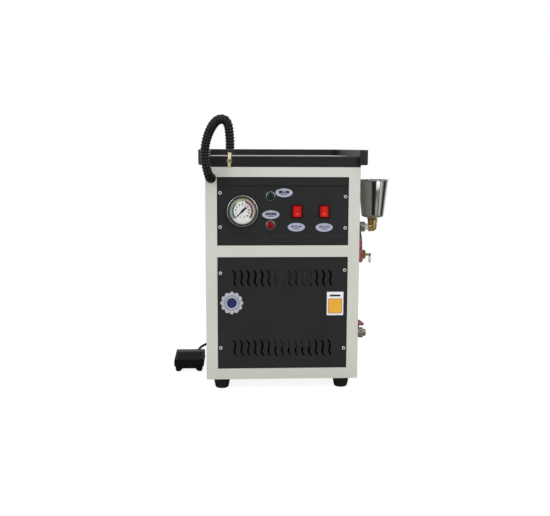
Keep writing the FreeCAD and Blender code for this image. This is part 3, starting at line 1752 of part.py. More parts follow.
def coil_heading(turn):
    step = 1e-4
    way = coil_point(min(turn + step, coil_turns)) - coil_point(max(turn - step, 0))
    return way.normalize()


def pedal_cord_coil():
    """The wound cord as one tube, straight for a diameter at both ends."""
    quarters = coil_turns * 4
    headings = [coil_heading(i / 4) for i in range(quarters + 1)]
    headings[0] = headings[-1] = RIGHT
    points = [coil_point(i / 4) for i in range(quarters + 1)]
    lead = 2 * cord_radius
    edges = [Part.LineSegment(points[0] + LEFT * lead, points[0]).toShape()]
    for i in range(quarters):
        edges += biarc(points[i], headings[i], points[i + 1], headings[i + 1])
    edges.append(Part.LineSegment(points[-1], points[-1] + RIGHT * lead).toShape())
    wire = Part.Wire(edges)
    coil = swept(wire, cord_radius)
    samples = [coil_point(coil_turns * i / 600) for i in range(601)]
    apart = [samples[i].distanceToPoint(samples[j])
             for i in range(601) for j in range(i + 60, 601)]
    share = coil.Volume / (math.pi * cord_radius ** 2 * wire.Length)
    print("pedal_cord_coil: length %.0f, volume share %.4f, least gap to itself %.2f" % (
        wire.Length, share, min(apart) - 2 * cord_radius))
    return coil


def cord_route(start, end, shares):
    """Points from one end of a cord to the other, by their shares of the way and of the height."""
    way = end - start
    high = max(start.z, end.z) - coil_floor
    between = [Vector(start.x + across * way.x, start.y + back * way.y, coil_floor + up * high)
               for across, back, up in shares]
    return Route([start] + between + [end])


def cord_stretch(name, route):
    solid = swept(route.wire(), cord_radius)
    report_tube(name, route, solid, cord_radius)
    return solid


def rear_glands():
    """Two cord glands: hexagon and dome outside, barrel and nut inside."""
    solids = []
    for x, bore in ((pedal_gland_x, cord_core_radius), (mains_gland_x, mains_bore_radius)):
        place = Vector(x, rear, rear_gland_height)
        dome = rear_gland_dome_radius
        body = turned([
            (0, -rear_gland_barrel_length),
            (rear_gland_barrel_radius, -rear_gland_barrel_length),
            (rear_gland_barrel_radius, 0),
            (dome, 0),
            (dome, rear_gland_reach * 0.7),
            (dome * 0.92, rear_gland_reach * 0.9, dome * 0.7, rear_gland_reach),
            (0, rear_gland_reach),
        ], place, BACK)
        body = joined([body, hexagon(place, BACK, rear_gland_across_flats, rear_gland_hex)])
        body = body.cut(rod(place + FRONT * (2 * rear_gland_barrel_length), BACK, bore,
                            4 * rear_gland_barrel_length))
        nut = hexagon(place + FRONT * sheet, FRONT, rear_gland_across_flats, rear_gland_nut)
        nut = nut.cut(rod(place, FRONT, rear_gland_barrel_radius, 2 * rear_gland_barrel_length))
        solids += [body, nut]
    return solids


# Boiler and what hangs on it


def boiler_form(offset):
    """The boiler's outer form, drawn in by an offset."""
    radius = boiler_radius - offset
    low, high, dome = boiler_bottom + offset, boiler_top - offset, boiler_dome
    bottom = cap_arc(radius, low + dome, -dome)
    return turned([
        (0, low),
        bottom[:2] + (radius, low + dome),
        (radius, high - dome),
        cap_arc(radius, high - dome, dome),
    ], Vector(boiler_x, valve_line_y, 0), UP)


def boiler():
    """A domed steel shell on a stand ring, with bosses for its pipes and its heater."""
    outer, inner = boiler_form(0), boiler_form(boiler_wall)
    stand = rod(Vector(boiler_x, valve_line_y, base_top), UP, boiler_stand_radius,
                boiler_bottom + boiler_dome - base_top)
    stand = stand.cut(rod(Vector(boiler_x, valve_line_y, base_top - overrun), UP,
                          boiler_stand_radius - boiler_wall, boiler_bottom + boiler_dome))
    side_start = boiler_x + boiler_radius - boss_sink
    bosses = [rod(Vector(side_start, valve_line_y, height), RIGHT, boss_radius,
                  boss_sink + boss_length) for height in (safety_height, drain_height)]
    bosses += [rod(Vector(x, valve_line_y, top_port_height - boss_sink - boss_length), UP,
                   boss_radius, boss_sink + boss_length)
               for x in (steam_port_x, boiler_x, feed_port_x)]
    heater_port = Vector(boiler_x, valve_line_y + boiler_radius - boss_sink, heater_height)
    bosses.append(rod(heater_port, BACK, heater_port_radius, boss_sink + boss_length))
    shell = joined([outer, stand] + bosses).cut(inner)
    low_inside = block((boiler_x - boiler_radius, boiler_x + boiler_radius),
                       (valve_line_y - boiler_radius, valve_line_y + boiler_radius),
                       (boiler_bottom + boiler_dome, boiler_top - boiler_dome))
    shell = shell.cut(low_inside.common(inner))
    bores = [rod(Vector(boiler_x, valve_line_y, height), RIGHT, nipple_radius + pipe_fit,
                 2 * boiler_radius) for height in (safety_height, drain_height)]
    bores += [rod(Vector(x, valve_line_y, boiler_top - boiler_dome), UP,
                  steam_pipe_radius + pipe_fit, 2 * boiler_dome)
              for x in (steam_port_x, boiler_x, feed_port_x)]
    bores.append(rod(Vector(boiler_x, valve_line_y, heater_height), BACK,
                     heater_plug_radius + pipe_fit, 2 * boiler_radius))
    return shell.cut(joined(bores))


def immersion_heater():
    """A hexagon-headed plug with a bent rod inside the boiler and a cap over its terminals."""
    seat = valve_line_y + boiler_radius + boss_length
    place = Vector(boiler_x, seat, heater_height)
    inner = boiler_radius - boiler_wall - boss_sink
    plug_length = seat - valve_line_y - inner
    rods = []
    for side in (-1, 1):
        rods.append(rod(place + FRONT * plug_length + RIGHT * (side * heater_rod_spread), FRONT,
                        heater_rod_radius, heater_rod_reach - plug_length))
    bend = Part.makeTorus(heater_rod_spread, heater_rod_radius,
                          place + FRONT * heater_rod_reach, UP)
    bend = bend.common(block((boiler_x - boiler_radius, boiler_x + boiler_radius),
                             (place.y - heater_rod_reach - boiler_radius,
                              place.y - heater_rod_reach),
                             (heater_height - overrun, heater_height + overrun)))
    return joined([
        rod(place, FRONT, heater_plug_radius, plug_length),
        hexagon(place, BACK, heater_across_flats, heater_head),
        rod(place + BACK * heater_head, BACK, heater_cap_radius, heater_cap_length),
        bend,
    ] + rods)


def solenoid_valve():
    """The steam valve: a brass body, a plunger tube and the coil round it."""
    half = solenoid_body_size / 2
    base = Vector(steam_port_x, valve_line_y, solenoid_base)
    body = block((base.x - half, base.x + half), (base.y - half, base.y + half),
                 (base.z, base.z + solenoid_body_height))
    body_top = base.z + solenoid_body_height
    tube_length = coil_box_height + plunger_tube_rise
    tube = rod(Vector(base.x, base.y, body_top), UP, plunger_tube_radius, tube_length)
    pipe_hole = rod(base + DOWN * overrun, UP, steam_pipe_radius + pipe_fit,
                    overrun + solenoid_body_height / 2)
    outlet = rod(base + UP * (solenoid_body_height / 2) + LEFT * (half + overrun), RIGHT,
                 steam_pipe_radius + pipe_fit, overrun + half)
    body = joined([body, tube]).cut(joined([pipe_hole, outlet]))
    half = coil_box_size / 2
    coil = block((base.x - half, base.x + half), (base.y - half, base.y + half),
                 (body_top, body_top + coil_box_height))
    coil = eased(coil, bend_radius, lambda e: along(e, UP))
    return [body, coil.cut(rod(Vector(base.x, base.y, body_top), UP,
                               plunger_tube_radius + pipe_fit, tube_length))]


def pressure_switch():
    """A manifold block on the boiler's middle port with the switch's can on top."""
    base = Vector(boiler_x, valve_line_y, top_port_height)
    return joined([
        rod(base, UP, pressure_block_radius, pressure_block_height),
        rod(base + UP * pressure_block_height, UP, pressure_can_radius, pressure_can_height),
        rod(base + DOWN * boss_length, UP, steam_pipe_radius, boss_length),
    ]).cut(rod(Vector(base.x, base.y - 2 * pressure_block_radius, gauge_pipe_height), BACK,
               small_pipe_radius + pipe_fit, 2 * pressure_block_radius))


def pipe(points, radius, bore):
    wire = Route(points, pipe_bend).wire()
    return swept(wire, radius).cut(swept(wire, bore))


def pipework():
    """Copper pipes: boiler to steam valve, valve to hose gland, feed pipe and gauge pipe."""
    y = valve_line_y
    valve_centre = solenoid_base + solenoid_body_height / 2
    valve_side = steam_port_x - solenoid_body_size / 2
    entry = nipple_entry
    riser_base = Vector(steam_port_x, y, top_port_height - boss_length)
    riser_length = solenoid_base + entry - riser_base.z
    riser = rod(riser_base, UP, steam_pipe_radius, riser_length)
    riser = riser.cut(rod(riser_base, UP, steam_pipe_bore, riser_length))
    to_hose = pipe([
        (valve_side + entry, y, valve_centre),
        (gland_place.x, y, valve_centre),
        (gland_place.x, y, gland_place.z),
        (gland_place.x, front + gland_barrel_length, gland_place.z),
    ], steam_pipe_radius, steam_pipe_bore)
    feed_start = half_width - flange
    to_boiler = pipe([
        (feed_start, y, feed_height),
        (feed_port_x, y, feed_height),
        (feed_port_x, y, top_port_height - boss_length),
    ], steam_pipe_radius, steam_pipe_bore)
    gauge_end = control_face + gauge_depth + gauge_stem_length
    to_gauge = pipe([
        (boiler_x, y - pressure_block_radius + entry, gauge_pipe_height),
        (boiler_x, gauge_pipe_y, gauge_pipe_height),
        (gauge_x, gauge_pipe_y, gauge_pipe_height),
        (gauge_x, gauge_pipe_y, gauge_height),
        (gauge_x, gauge_end, gauge_height),
    ], small_pipe_radius, small_pipe_bore)
    return [riser, to_hose, to_boiler, to_gauge]


def control_gear():
    """A rail on the base pan with a contactor and a terminal block."""
    half = gear_rail_width / 2
    y0 = gear_rail_y
    rail = block((gear_rail_x - half, gear_rail_x + half), (y0, y0 + gear_rail_length),
                 (base_top, base_top + gear_rail_height))
    top = base_top + gear_rail_height
    half_width_of_gear = contactor_width / 2
    contactor = block((gear_rail_x - half_width_of_gear, gear_rail_x + half_width_of_gear),
                      (y0 + gear_gap, y0 + gear_gap + contactor_length),
                      (top, top + contactor_height))
    contactor = eased(contactor, bend_radius, lambda e: along(e, UP))
    start = y0 + 2 * gear_gap + contactor_length
    terminals = block((gear_rail_x - half, gear_rail_x + half),
                      (start, start + terminal_length), (top, top + terminal_height))
    return [rail, contactor, terminals]


def build():
    """Every node's name and its solids."""
    lead = RIGHT * (2 * cord_radius)
    gland_end = Vector(pedal_x + pedal_gland_offset_x, pedal_rear + pedal_gland_length,
                       pedal_gland_height)
    rear_gland_end = Vector(pedal_gland_x, rear + rear_gland_reach, rear_gland_height)
    cord_run = cord_route(gland_end, coil_point(0) - lead, cord_run_shares)
    cord_rise = cord_route(coil_point(coil_turns) + lead, rear_gland_end, cord_rise_shares)
    wall = side_panel()
    right_wall = wall.cut(Part.makeCompound(wall_holes()))
    feed = ball_valve(feed_height, FRONT, feed_grip_start, feed_grip_end, feed_grip_width)
    drain = ball_valve(drain_height, UP, drain_grip_start, drain_grip_end, drain_grip_width)
    safety_body, safety_stem, ring = safety_parts()
    nodes = {
        "front_frame": [front_frame()],
        "left_side_panel": [mirrored(wall)],
        "right_side_panel": [right_wall],
        "rear_panel": [rear_panel()],
        "base_pan": [base_pan()],
        "rubber_feet": rubber_feet(),
        "foot_screws": foot_screws(),
        "cabinet_screws": cabinet_screws(),
        "tray_front_bar": [tray_front_bar()],
        "tray_deck": [tray_deck()],
        "tray_rail": [tray_rail()],
        "control_panel": [control_panel()],
        "louvre_panel": [louvre_panel()],
        "label_plates": label_plates(),
        "gauge_case": [gauge_case()],
        "gauge_bezel": [gauge_bezel()],
        "gauge_lens": [gauge_lens()],
        "gauge_dial": [gauge_dial()],
        "gauge_needle": [gauge_needle()],
        "gauge_clamp": gauge_clamp(),
        "pilot_lamps": pilot_lamps(),
        "green_lens": [lamp_lens(green_lamp_height)],
        "red_lens": [lamp_lens(red_lamp_height)],
        "switch_housings": switch_housings(),
        "power_rocker": [rocker(rocker_places_x[0])],
        "heater_rocker": [rocker(rocker_places_x[1])],
        "hose_gland": hose_gland(),
        "steam_hose": [steam_hose()],
        "hose_ferrule": [hose_ferrule()],
        "steam_nozzle": [steam_nozzle()],
        "filler_cup": [filler_cup()],
        "cup_fastening": cup_fastening(),
        "filler_elbow": [filler_elbow()],
        "pipe_nipples": pipe_nipples(),
        "safety_valve_body": [safety_body],
        "safety_valve_stem": [safety_stem],
        "pull_ring": [ring],
        "pedal_treadle": [pedal_treadle()],
        "pedal_base": [pedal_base()],
        "pedal_pin": [pedal_pin()],
        "pedal_spring": [pedal_spring()],
        "pedal_switch": [pedal_switch()],
        "pedal_cord_run": [cord_stretch("pedal_cord_run", cord_run)],
        "pedal_cord_coil": [pedal_cord_coil()],
        "pedal_cord_rise": [cord_stretch("pedal_cord_rise", cord_rise)],
        "rear_glands": rear_glands(),
        "boiler": [boiler()],
        "immersion_heater": [immersion_heater()],
        "solenoid_valve": solenoid_valve(),
        "pressure_switch": [pressure_switch()],
        "pipework": pipework(),
        "control_gear": control_gear(),
    }
    for valve, groups in (("feed", feed), ("drain", drain)):
        for part, solids in zip(("body", "spindle", "lever", "grip"), groups):
            nodes["%s_valve_%s" % (valve, part)] = solids
    return nodes


os.makedirs("parts", exist_ok=True)
for name, solids in build().items():
    shape = solids[0] if len(solids) == 1 else Part.makeCompound(solids)
    if not shape.isValid() or len(shape.Solids) != len(solids):
        print("check %s: valid %s, %d solids for %d" % (
            name, shape.isValid(), len(shape.Solids), len(solids)))
    shape.exportStep("parts/%s.step" % name)
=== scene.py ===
import math

import bmesh
import bpy
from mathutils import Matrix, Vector


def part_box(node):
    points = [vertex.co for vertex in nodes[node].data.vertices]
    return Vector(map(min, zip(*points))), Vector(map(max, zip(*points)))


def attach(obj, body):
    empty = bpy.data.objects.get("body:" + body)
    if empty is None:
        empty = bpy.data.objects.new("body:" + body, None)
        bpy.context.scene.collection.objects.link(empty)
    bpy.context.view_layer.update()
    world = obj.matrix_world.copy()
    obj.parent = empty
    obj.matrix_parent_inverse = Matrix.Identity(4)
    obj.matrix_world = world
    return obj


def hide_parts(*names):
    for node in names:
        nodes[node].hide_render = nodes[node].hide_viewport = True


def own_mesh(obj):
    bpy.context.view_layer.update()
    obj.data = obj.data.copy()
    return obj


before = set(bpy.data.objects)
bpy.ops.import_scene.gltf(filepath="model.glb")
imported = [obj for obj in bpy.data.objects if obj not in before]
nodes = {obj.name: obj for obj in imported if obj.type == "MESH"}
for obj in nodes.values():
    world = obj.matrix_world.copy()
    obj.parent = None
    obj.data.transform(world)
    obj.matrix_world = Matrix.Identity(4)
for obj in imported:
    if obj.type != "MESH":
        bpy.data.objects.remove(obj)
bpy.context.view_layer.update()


# Camera. Almost two metres in front of the cabinet, a little above its tray and to the left,
# looking slightly down.
camera = bpy.data.objects.new("camera", bpy.data.cameras.new("camera"))
camera.data.lens = 52.752
camera.data.sensor_width = 36.0
camera.data.clip_start = 0.05
camera.location = (-0.106607, -1.96145, 0.54271)
camera.rotation_euler = [math.radians(angle) for angle in (82.1906, -0.1989, -2.8733)]
bpy.context.scene.collection.objects.link(camera)
bpy.context.scene.camera = camera
bpy.context.scene.view_settings.view_transform = "Standard"


# Studio. A white floor and a white room, lit softly from above and from both sides, with a
# dimmer side behind the camera for polished metal to mirror.
class Value:
    """A socket of a shader. Sums and products of it are Math nodes; node() adds any other."""

    def __init__(self, tree, socket=None):
        self.tree, self.socket = tree, socket

    def node(self, kind, output=0, settings=None, **sockets):
        made = self.tree.nodes.new("ShaderNode" + kind)
        for name, setting in (settings or {}).items():
            if name == "stops":
                while len(made.color_ramp.elements) < len(setting):
                    made.color_ramp.elements.new(0.5)
                for element, (place, colour) in zip(made.color_ramp.elements, setting):
                    element.position, element.color = place, (*colour, 1)
            else:
                setattr(made, name, setting)
        for name, value in sockets.items():
            numbered = name[1:].isdigit()
            entry = made.inputs[int(name[1:]) if numbered else name.replace("_", " ")]
            if isinstance(value, Value):
                self.tree.links.new(value.socket, entry)
            else:
                entry.default_value = (*value, 1) if entry.type == "RGBA" else value
        return Value(self.tree, made.outputs[output] if made.outputs else None)

    def maths(self, operation, *values):
        """A Math node on some values."""
        inputs = {"i%d" % i: value for i, value in enumerate(values)}
        return self.node("Math", settings={"operation": operation}, **inputs)

    def __add__(self, other):
        return self.maths("ADD", self, other)

    def __sub__(self, other):
        return self.maths("SUBTRACT", self, other)

    def __rsub__(self, other):
        return self.maths("SUBTRACT", other, self)

    def __mul__(self, other):
        return self.maths("MULTIPLY", self, other)

    def __truediv__(self, other):
        return self.maths("DIVIDE", self, other)

    __radd__ = __add__
    __rmul__ = __mul__


def ramped(value, low, high, start=0.0, end=1.0):
    """A value between low and high, stretched to run from start to end."""
    return value.node("MapRange", Value=value, From_Min=low, From_Max=high,
                      To_Min=start, To_Max=end)


def between(value, start, full, fade, end):
    """1 where a value is between full and fade, falling to 0 at start and at end."""
    return ramped(value, start, full) * ramped(value, fade, end, 1.0, 0.0)


def dyed(share, first, second):
    """A colour from first to second, by a share."""
    return share.node("Mix", 2, {"data_type": "RGBA"}, i0=share, i6=first, i7=second)


def soft_box(name, place, aim, width, height, watts):
    """A rectangular lamp aimed at a point, which the camera doesn't see."""
    lamp = bpy.data.objects.new(name, bpy.data.lights.new(name, "AREA"))
    lamp.data.shape = "RECTANGLE"
    lamp.data.size, lamp.data.size_y = width, height
    lamp.data.energy = watts
    lamp.location = place
    lamp.rotation_euler = (Vector(aim) - Vector(place)).to_track_quat("-Z", "Y").to_euler()
    lamp.visible_camera = False
    bpy.context.scene.collection.objects.link(lamp)


soft_box("box_above", (0.1, -0.7, 2.3), (0.0, 0.0, 0.3), 1.6, 1.2, 15.0)
soft_box("box_left", (-1.5, -1.9, 1.3), (0.0, 0.0, 0.3), 0.7, 1.6, 16.0)
soft_box("box_right", (1.1, -2.1, 1.1), (0.1, 0.0, 0.3), 0.5, 1.5, 12.0)

room_light, mirror_light, window_light, doorway_light = 0.68, 2.6, 4.2, 0.8
mirror_stops = (
    (-180, 0.22), (-140, 0.46), (-118, 0.30), (-100, 0.10), (-72, 0.06), (-64, 0.10),
    (-56, 0.60), (-34, 0.60), (-27, 0.10), (-19, 0.10), (-14, 0.02), (-3, 0.012), (11, 0.04),
    (20, 0.03), (29, 0.05), (34, 0.24), (39, 0.24), (43, 0.08), (48, 0.09), (52, 0.46),
    (66, 0.54), (71, 0.20), (84, 0.08), (90, 0.01), (100, 0.008), (108, 0.14), (117, 0.28),
    (128, 0.48), (142, 0.60), (170, 0.22), (180, 0.22),
)
window_sides = [math.radians(angle) for angle in (14, 19, 42, 48)]
doorway_sides = [math.radians(angle) for angle in (13, 19, 29, 34)]
window_heights, window_tilt = (-0.2788, -0.2772, -0.2700, -0.2685), 0.041
doorway_heights = (-0.300, -0.281)
room = bpy.data.worlds.new("white_room")
room.use_nodes = True
room.node_tree.nodes.clear()
bpy.context.scene.world = room
air = Value(room.node_tree)
seen = air.node("LightPath", "Is Camera Ray") + air.node("LightPath", "Is Transmission Ray")
mirrored = air.node("LightPath", "Is Glossy Ray")
toward = air.node("TexCoord", "Generated")
right, back, rise = [air.node("SeparateXYZ", axis, Vector=toward) for axis in "XYZ"]
azimuth = air.maths("ARCTAN2", right, 0 - back)
around = air.node("ValToRGB", "Color", {"stops": [
    ((angle + 180) / 360, (light,) * 3) for angle, light in mirror_stops]},
    Fac=azimuth / (2 * math.pi) + 0.5)
ceiling = ramped(rise, 0.40, 0.62)
overhead = ramped(air.maths("ABSOLUTE", right), 0.22, 0.50, 0.10, 1.35)
level = rise - azimuth * window_tilt
window = between(azimuth, *window_sides) * between(level, *window_heights)
doorway = between(azimuth, *doorway_sides) * ramped(level, *doorway_heights, 1.0, 0.0)
reflected = (around * mirror_light * (1 - ceiling) + ceiling * overhead
             + window * window_light + doorway * doorway_light)
strength = room_light + seen * (1 - room_light) + mirrored * (reflected - room_light)
air.node("OutputWorld", Surface=air.node("Background", Color=(1, 1, 1), Strength=strength))

floor_half = 1.0
floor_mesh = bpy.data.meshes.new("floor")
floor_mesh.from_pydata([(x * floor_half, y * floor_half, 0) for x, y in
                        ((-1, -1), (1, -1), (1, 1), (-1, 1))], [], [(0, 1, 2, 3)])
floor = bpy.data.objects.new("floor", floor_mesh)
bpy.context.scene.collection.objects.link(floor)
floor_paint = bpy.data.materials.new("floor_paint")
floor_paint.use_nodes = True
floor_paint.node_tree.nodes.clear()
floor_mesh.materials.append(floor_paint)
ground = Value(floor_paint.node_tree)
floor_glow, mirrored_share, dimmed_share = 0.88, 0.12, 0.60
mirrored = ground.node("LightPath", "Is Glossy Ray")
seen = (ground.node("LightPath", "Is Camera Ray") + mirrored * mirrored_share
        + ground.node("LightPath", "Is Transmission Ray"))
glow = ground.node("AddShader",
                   i0=ground.node("Emission", Color=(1, 1, 1), Strength=floor_glow),
                   i1=ground.node("BsdfDiffuse", Color=(0.25, 0.25, 0.25)))
plain = ground.node("BsdfDiffuse", Color=dyed(mirrored * dimmed_share, (0.72, 0.72, 0.72),
                                              (0.04, 0.04, 0.04)))
ground.node("OutputMaterial", Surface=ground.node("MixShader", i0=seen, i1=plain, i2=glow))


# Cabinet. A welded front with two joggled openings, two folded sides, a slotted back and a
# folded floor, all of 1.5 mm sheet under one coat of pale grey baked enamel.
def new_finish(name):
    """An empty material, and the place of each of its points in metres."""
    material = bpy.data.materials.new(name)
    material.use_nodes = True
    material.node_tree.nodes.clear()
    return material, Value(material.node_tree).node("TexCoord", "Object")


def speckle(place, size, detail=2.0, drawn=(1, 1, 1)):
    """Noise from 0 to 1 with spots about size metres across, drawn out along the axes."""
    steps = tuple(1 / (size * way) for way in drawn)
    spot = place.node("VectorMath", settings={"operation": "MULTIPLY"}, i0=place, i1=steps)
    return place.node("TexNoise", Vector=spot, Scale=1.0, Detail=detail)


def shaded(place, base, roughness, metallic=0.0, height=None, depth=0.0, **more):
    """Ends a material with its shader; height from 0 to 1 is a bump of a depth in metres."""
    if height is not None:
        more["Normal"] = place.node("Bump", Height=height, Distance=depth)
    shader = place.node("BsdfPrincipled", Base_Color=base, Roughness=roughness,
                        Metallic=metallic, **more)
    place.node("OutputMaterial", Surface=shader)


def coat(material, *names):
    """Gives CAD nodes their finish."""
    for name in names:
        for slot in nodes[name].material_slots:
            slot.material = material


def axis_of(place, axis):
    """One coordinate of a place, in metres."""
    return place.node("SeparateXYZ", axis, Vector=place)


cabinet_enamel, place = new_finish("cabinet_enamel")
orange_peel = speckle(place, 0.0016, 2.0)
cloud = speckle(place, 0.09, 3.0)
scuffs = ramped(speckle(place, 0.02, 6.0, (0.4, 1, 3.0)), 0.62, 0.75)
low_dust = ramped(axis_of(place, "Z"), 0.025, 0.09, 0.5, 0.0) * cloud
base = dyed(cloud, (0.522, 0.527, 0.480), (0.560, 0.565, 0.516))
base = dyed(low_dust + scuffs * 0.12, base, (0.40, 0.39, 0.35))
shaded(place, base, 0.36 + cloud * 0.08 + scuffs * 0.12, 0.0,
       orange_peel + speckle(place, 0.012, 1.0) * 0.6, 0.00005,
       Coat_Weight=0.12, Coat_Roughness=0.2)
coat(cabinet_enamel, "front_frame", "left_side_panel", "right_side_panel", "rear_panel",
     "base_pan")


# Feet. Four tapered feet of moulded black rubber with dusty soles, each held by a
# zinc-plated screw and a nut.
foot_rubber, place = new_finish("foot_rubber")
bloom = speckle(place, 0.010, 4.0)
worn_sole = ramped(axis_of(place, "Z"), 0.0, 0.006, 1.0, 0.0) * bloom
shaded(place, dyed(bloom * 0.4 + worn_sole, (0.004, 0.004, 0.004), (0.030, 0.028, 0.025)),
       0.55 + bloom * 0.18, 0.0, speckle(place, 0.0008, 3.0), 0.0001,
       Specular_IOR_Level=0.15)
coat(foot_rubber, "rubber_feet")

zinc_plate, place = new_finish("zinc_plate")
tarnish = speckle(place, 0.004, 4.0)
shaded(place, dyed(tarnish, (0.76, 0.76, 0.74), (0.60, 0.58, 0.54)), 0.14 + tarnish * 0.14,
       1.0, speckle(place, 0.0006, 2.0), 0.00001)
coat(zinc_plate, "foot_screws", "gauge_clamp", "pedal_pin")


# Tray. A grey folded deck inside a black rail that is open at the front, where a plain black
# bar closes it.
tray_enamel, place = new_finish("tray_enamel")
cloud = speckle(place, 0.05, 4.0)
scratches = ramped(speckle(place, 0.006, 5.0, (6.0, 1, 0.5)), 0.66, 0.74)
shaded(place, dyed(cloud * 0.7 + scratches * 0.3, (0.007, 0.007, 0.0075), (0.014, 0.014, 0.015)),
       0.34 + cloud * 0.12 + scratches * 0.15, 0.0,
       speckle(place, 0.0013, 2.0), 0.00005, Specular_IOR_Level=0.35)
coat(tray_enamel, "tray_front_bar", "tray_rail")

deck_enamel, place = new_finish("deck_enamel")
cloud = speckle(place, 0.07, 4.0)
rubbed = ramped(speckle(place, 0.012, 6.0, (5.0, 1, 1)), 0.55, 0.75)
shaded(place, dyed(cloud + rubbed * 0.4, (0.34, 0.34, 0.33), (0.48, 0.48, 0.47)),
       0.38 + cloud * 0.1 + rubbed * 0.12, 0.0, speckle(place, 0.0012, 3.0), 0.00004)
coat(deck_enamel, "tray_deck")


# Front panels. Two pieces of folded sheet in near-black enamel of a fine, slightly rough
# texture, held by cross-recess screws; the lower one has two rows of wavy slots.
panel_enamel, place = new_finish("panel_enamel")
cloud = speckle(place, 0.06, 4.0)
grit = speckle(place, 0.0011, 3.0)
shaded(place, dyed(cloud * 0.7 + grit * 0.3, (0.010, 0.011, 0.011), (0.018, 0.019, 0.019)),
       0.40 + cloud * 0.10, 0.0, grit, 0.00010, Specular_IOR_Level=0.25)
coat(panel_enamel, "control_panel", "louvre_panel")


def least(values):
    """The least of some values."""
    found = values[0]
    for value in values[1:]:
        found = value.maths("MINIMUM", found, value)
    return found


screw_zinc, place = new_finish("screw_zinc")
flat = place.node("VectorMath", settings={"operation": "MULTIPLY"}, i0=place, i1=(1, 0, 1))
front_screws = [(-0.1379, 0.4441), (-0.1379, 0.3690), (0.1379, 0.4358), (0.1379, 0.3667),
                (-0.1379, 0.2671), (-0.1379, 0.0978), (0.1379, 0.2729), (0.1379, 0.0955)]
rear_screws = [(side * 0.1615, 0.064 + 0.133 * count) for side in (-1, 1) for count in range(4)]
off_middle = least([
    place.node("VectorMath", "Value", {"operation": "DISTANCE"}, i0=flat, i1=(x, 0, z))
    for x, z in front_screws + rear_screws])
# Painted shade: each screw head is painted near-black and less metallic within about 2 mm of its
# middle, where its cross slot would lie in shadow.
painted_recess_shade = ramped(off_middle, 0.0018, 0.0024, 1.0, 0.0)
tarnish = speckle(place, 0.003, 4.0)
shaded(place, dyed(painted_recess_shade, dyed(tarnish, (0.80, 0.80, 0.78), (0.64, 0.63, 0.60)),
                   (0.012, 0.012, 0.012)), 0.30 + tarnish * 0.12, 0.25 - painted_recess_shade * 0.25,
       speckle(place, 0.0006, 2.0), 0.00001)
coat(screw_zinc, "cabinet_screws")


# Plates on the panels. Four domed oval signs and a scalloped seal of silver film, and a white
# card, all stuck on. Their prints are plain shapes.
def skinned(name, rings, sharp=35.0):
    """A closed mesh through rings of points, joined each to the next and filled at the ends."""
    count = len(rings[0])
    points = [tuple(point) for ring in rings for point in ring]
    faces = [(i * count + k, i * count + (k + 1) % count,
              (i + 1) * count + (k + 1) % count, (i + 1) * count + k)
             for i in range(len(rings) - 1) for k in range(count)]
    faces += [tuple(range(count)), tuple(range(len(points) - count, len(points)))]
    return meshed(name, points, faces, sharp)


def meshed(name, points, faces, sharp=35.0):
    """A mesh with its faces turned outwards, smooth apart from edges sharper than an angle."""
    work = bmesh.new()
    corners = [work.verts.new(point) for point in points]
    for face in faces:
        work.faces.new([corners[i] for i in face])
    bmesh.ops.recalc_face_normals(work, faces=work.faces)
    mesh = bpy.data.meshes.new(name)
    work.to_mesh(mesh)
    work.free()
    mesh.shade_smooth()
    mesh.set_sharp_from_angle(angle=math.radians(sharp))
    return mesh


def prisms(name, outlines, place, across, up, thick=0.00008):
    """Thin raised prints, from outlines of (across, up) points in metres, on a face."""
    out = across.cross(up)
    points, faces = [], []
    for outline in outlines:
        first, count = len(points), len(outline)
        for lift in (0.0, thick):
            points += [place + across * a + up * b + out * lift for a, b in outline]
        faces.append([first + k for k in range(count)])
        faces.append([first + count + k for k in range(count)])
        faces += [[first + k, first + (k + 1) % count, first + count + (k + 1) % count,
                   first + count + k] for k in range(count)]
    return meshed(name, points, faces)


def add_piece(name, mesh, material, body, *replaced, slot=None):
    """A new piece of the object, with its finish, on the body that carries it."""
    piece = bpy.data.objects.new(name, mesh)
    bpy.context.scene.collection.objects.link(piece)
    mesh.materials.append(material)
    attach(piece, body)
    if replaced:
        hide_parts(*replaced)
    return piece


def ring_part(inner, outer, start=0.0, end=360.0, steps=64):
    """The outline of part of a flat ring; its angles run clockwise from the top."""
    angles = [math.radians(start + (end - start) * i / steps) for i in range(steps + 1)]
    outline = [(outer * math.sin(a), outer * math.cos(a)) for a in angles]
    return outline + [(inner * math.sin(a), inner * math.cos(a)) for a in reversed(angles)]


def flat_ring(inner, outer, steps):
    """The outlines of a flat ring's two halves."""
    return [ring_part(inner, outer, start, start + 180, steps) for start in (0, 180)]


def disc(radius, centre=(0.0, 0.0), steps=40):
    """The outline of a disc."""
    angles = [2 * math.pi * i / steps for i in range(steps)]
    return [(centre[0] + radius * math.sin(a), centre[1] + radius * math.cos(a)) for a in angles]


def stroke(points, width):
    """The outline of a line of one width through points."""
    left, right = [], []
    for i, (x, z) in enumerate(points):
        before, after = points[max(i - 1, 0)], points[min(i + 1, len(points) - 1)]
        way = Vector((after[0] - before[0], after[1] - before[1])).normalized() * (width / 2)
        left.append((x - way.y, z + way.x))
        right.append((x + way.y, z - way.x))
    return left + right[::-1]


across, up = Vector((1, 0, 0)), Vector((0, 0, 1))
control_face, louvre_face = -0.196, -0.1985

silver_film, place = new_finish("silver_film")
haze = speckle(place, 0.010, 4.0)
brushed = speckle(place, 0.0005, 2.0, (30.0, 1, 1))
shaded(place, dyed(haze, (0.50, 0.51, 0.64), (0.41, 0.42, 0.53)), 0.34 + haze * 0.15, 0.35,
       brushed, 0.00001)
sign_ink, place = new_finish("sign_ink")
pinholes = speckle(place, 0.0012, 4.0)
shaded(place, dyed(pinholes, (0.008, 0.010, 0.045), (0.020, 0.024, 0.075)), 0.4 + pinholes * 0.2)

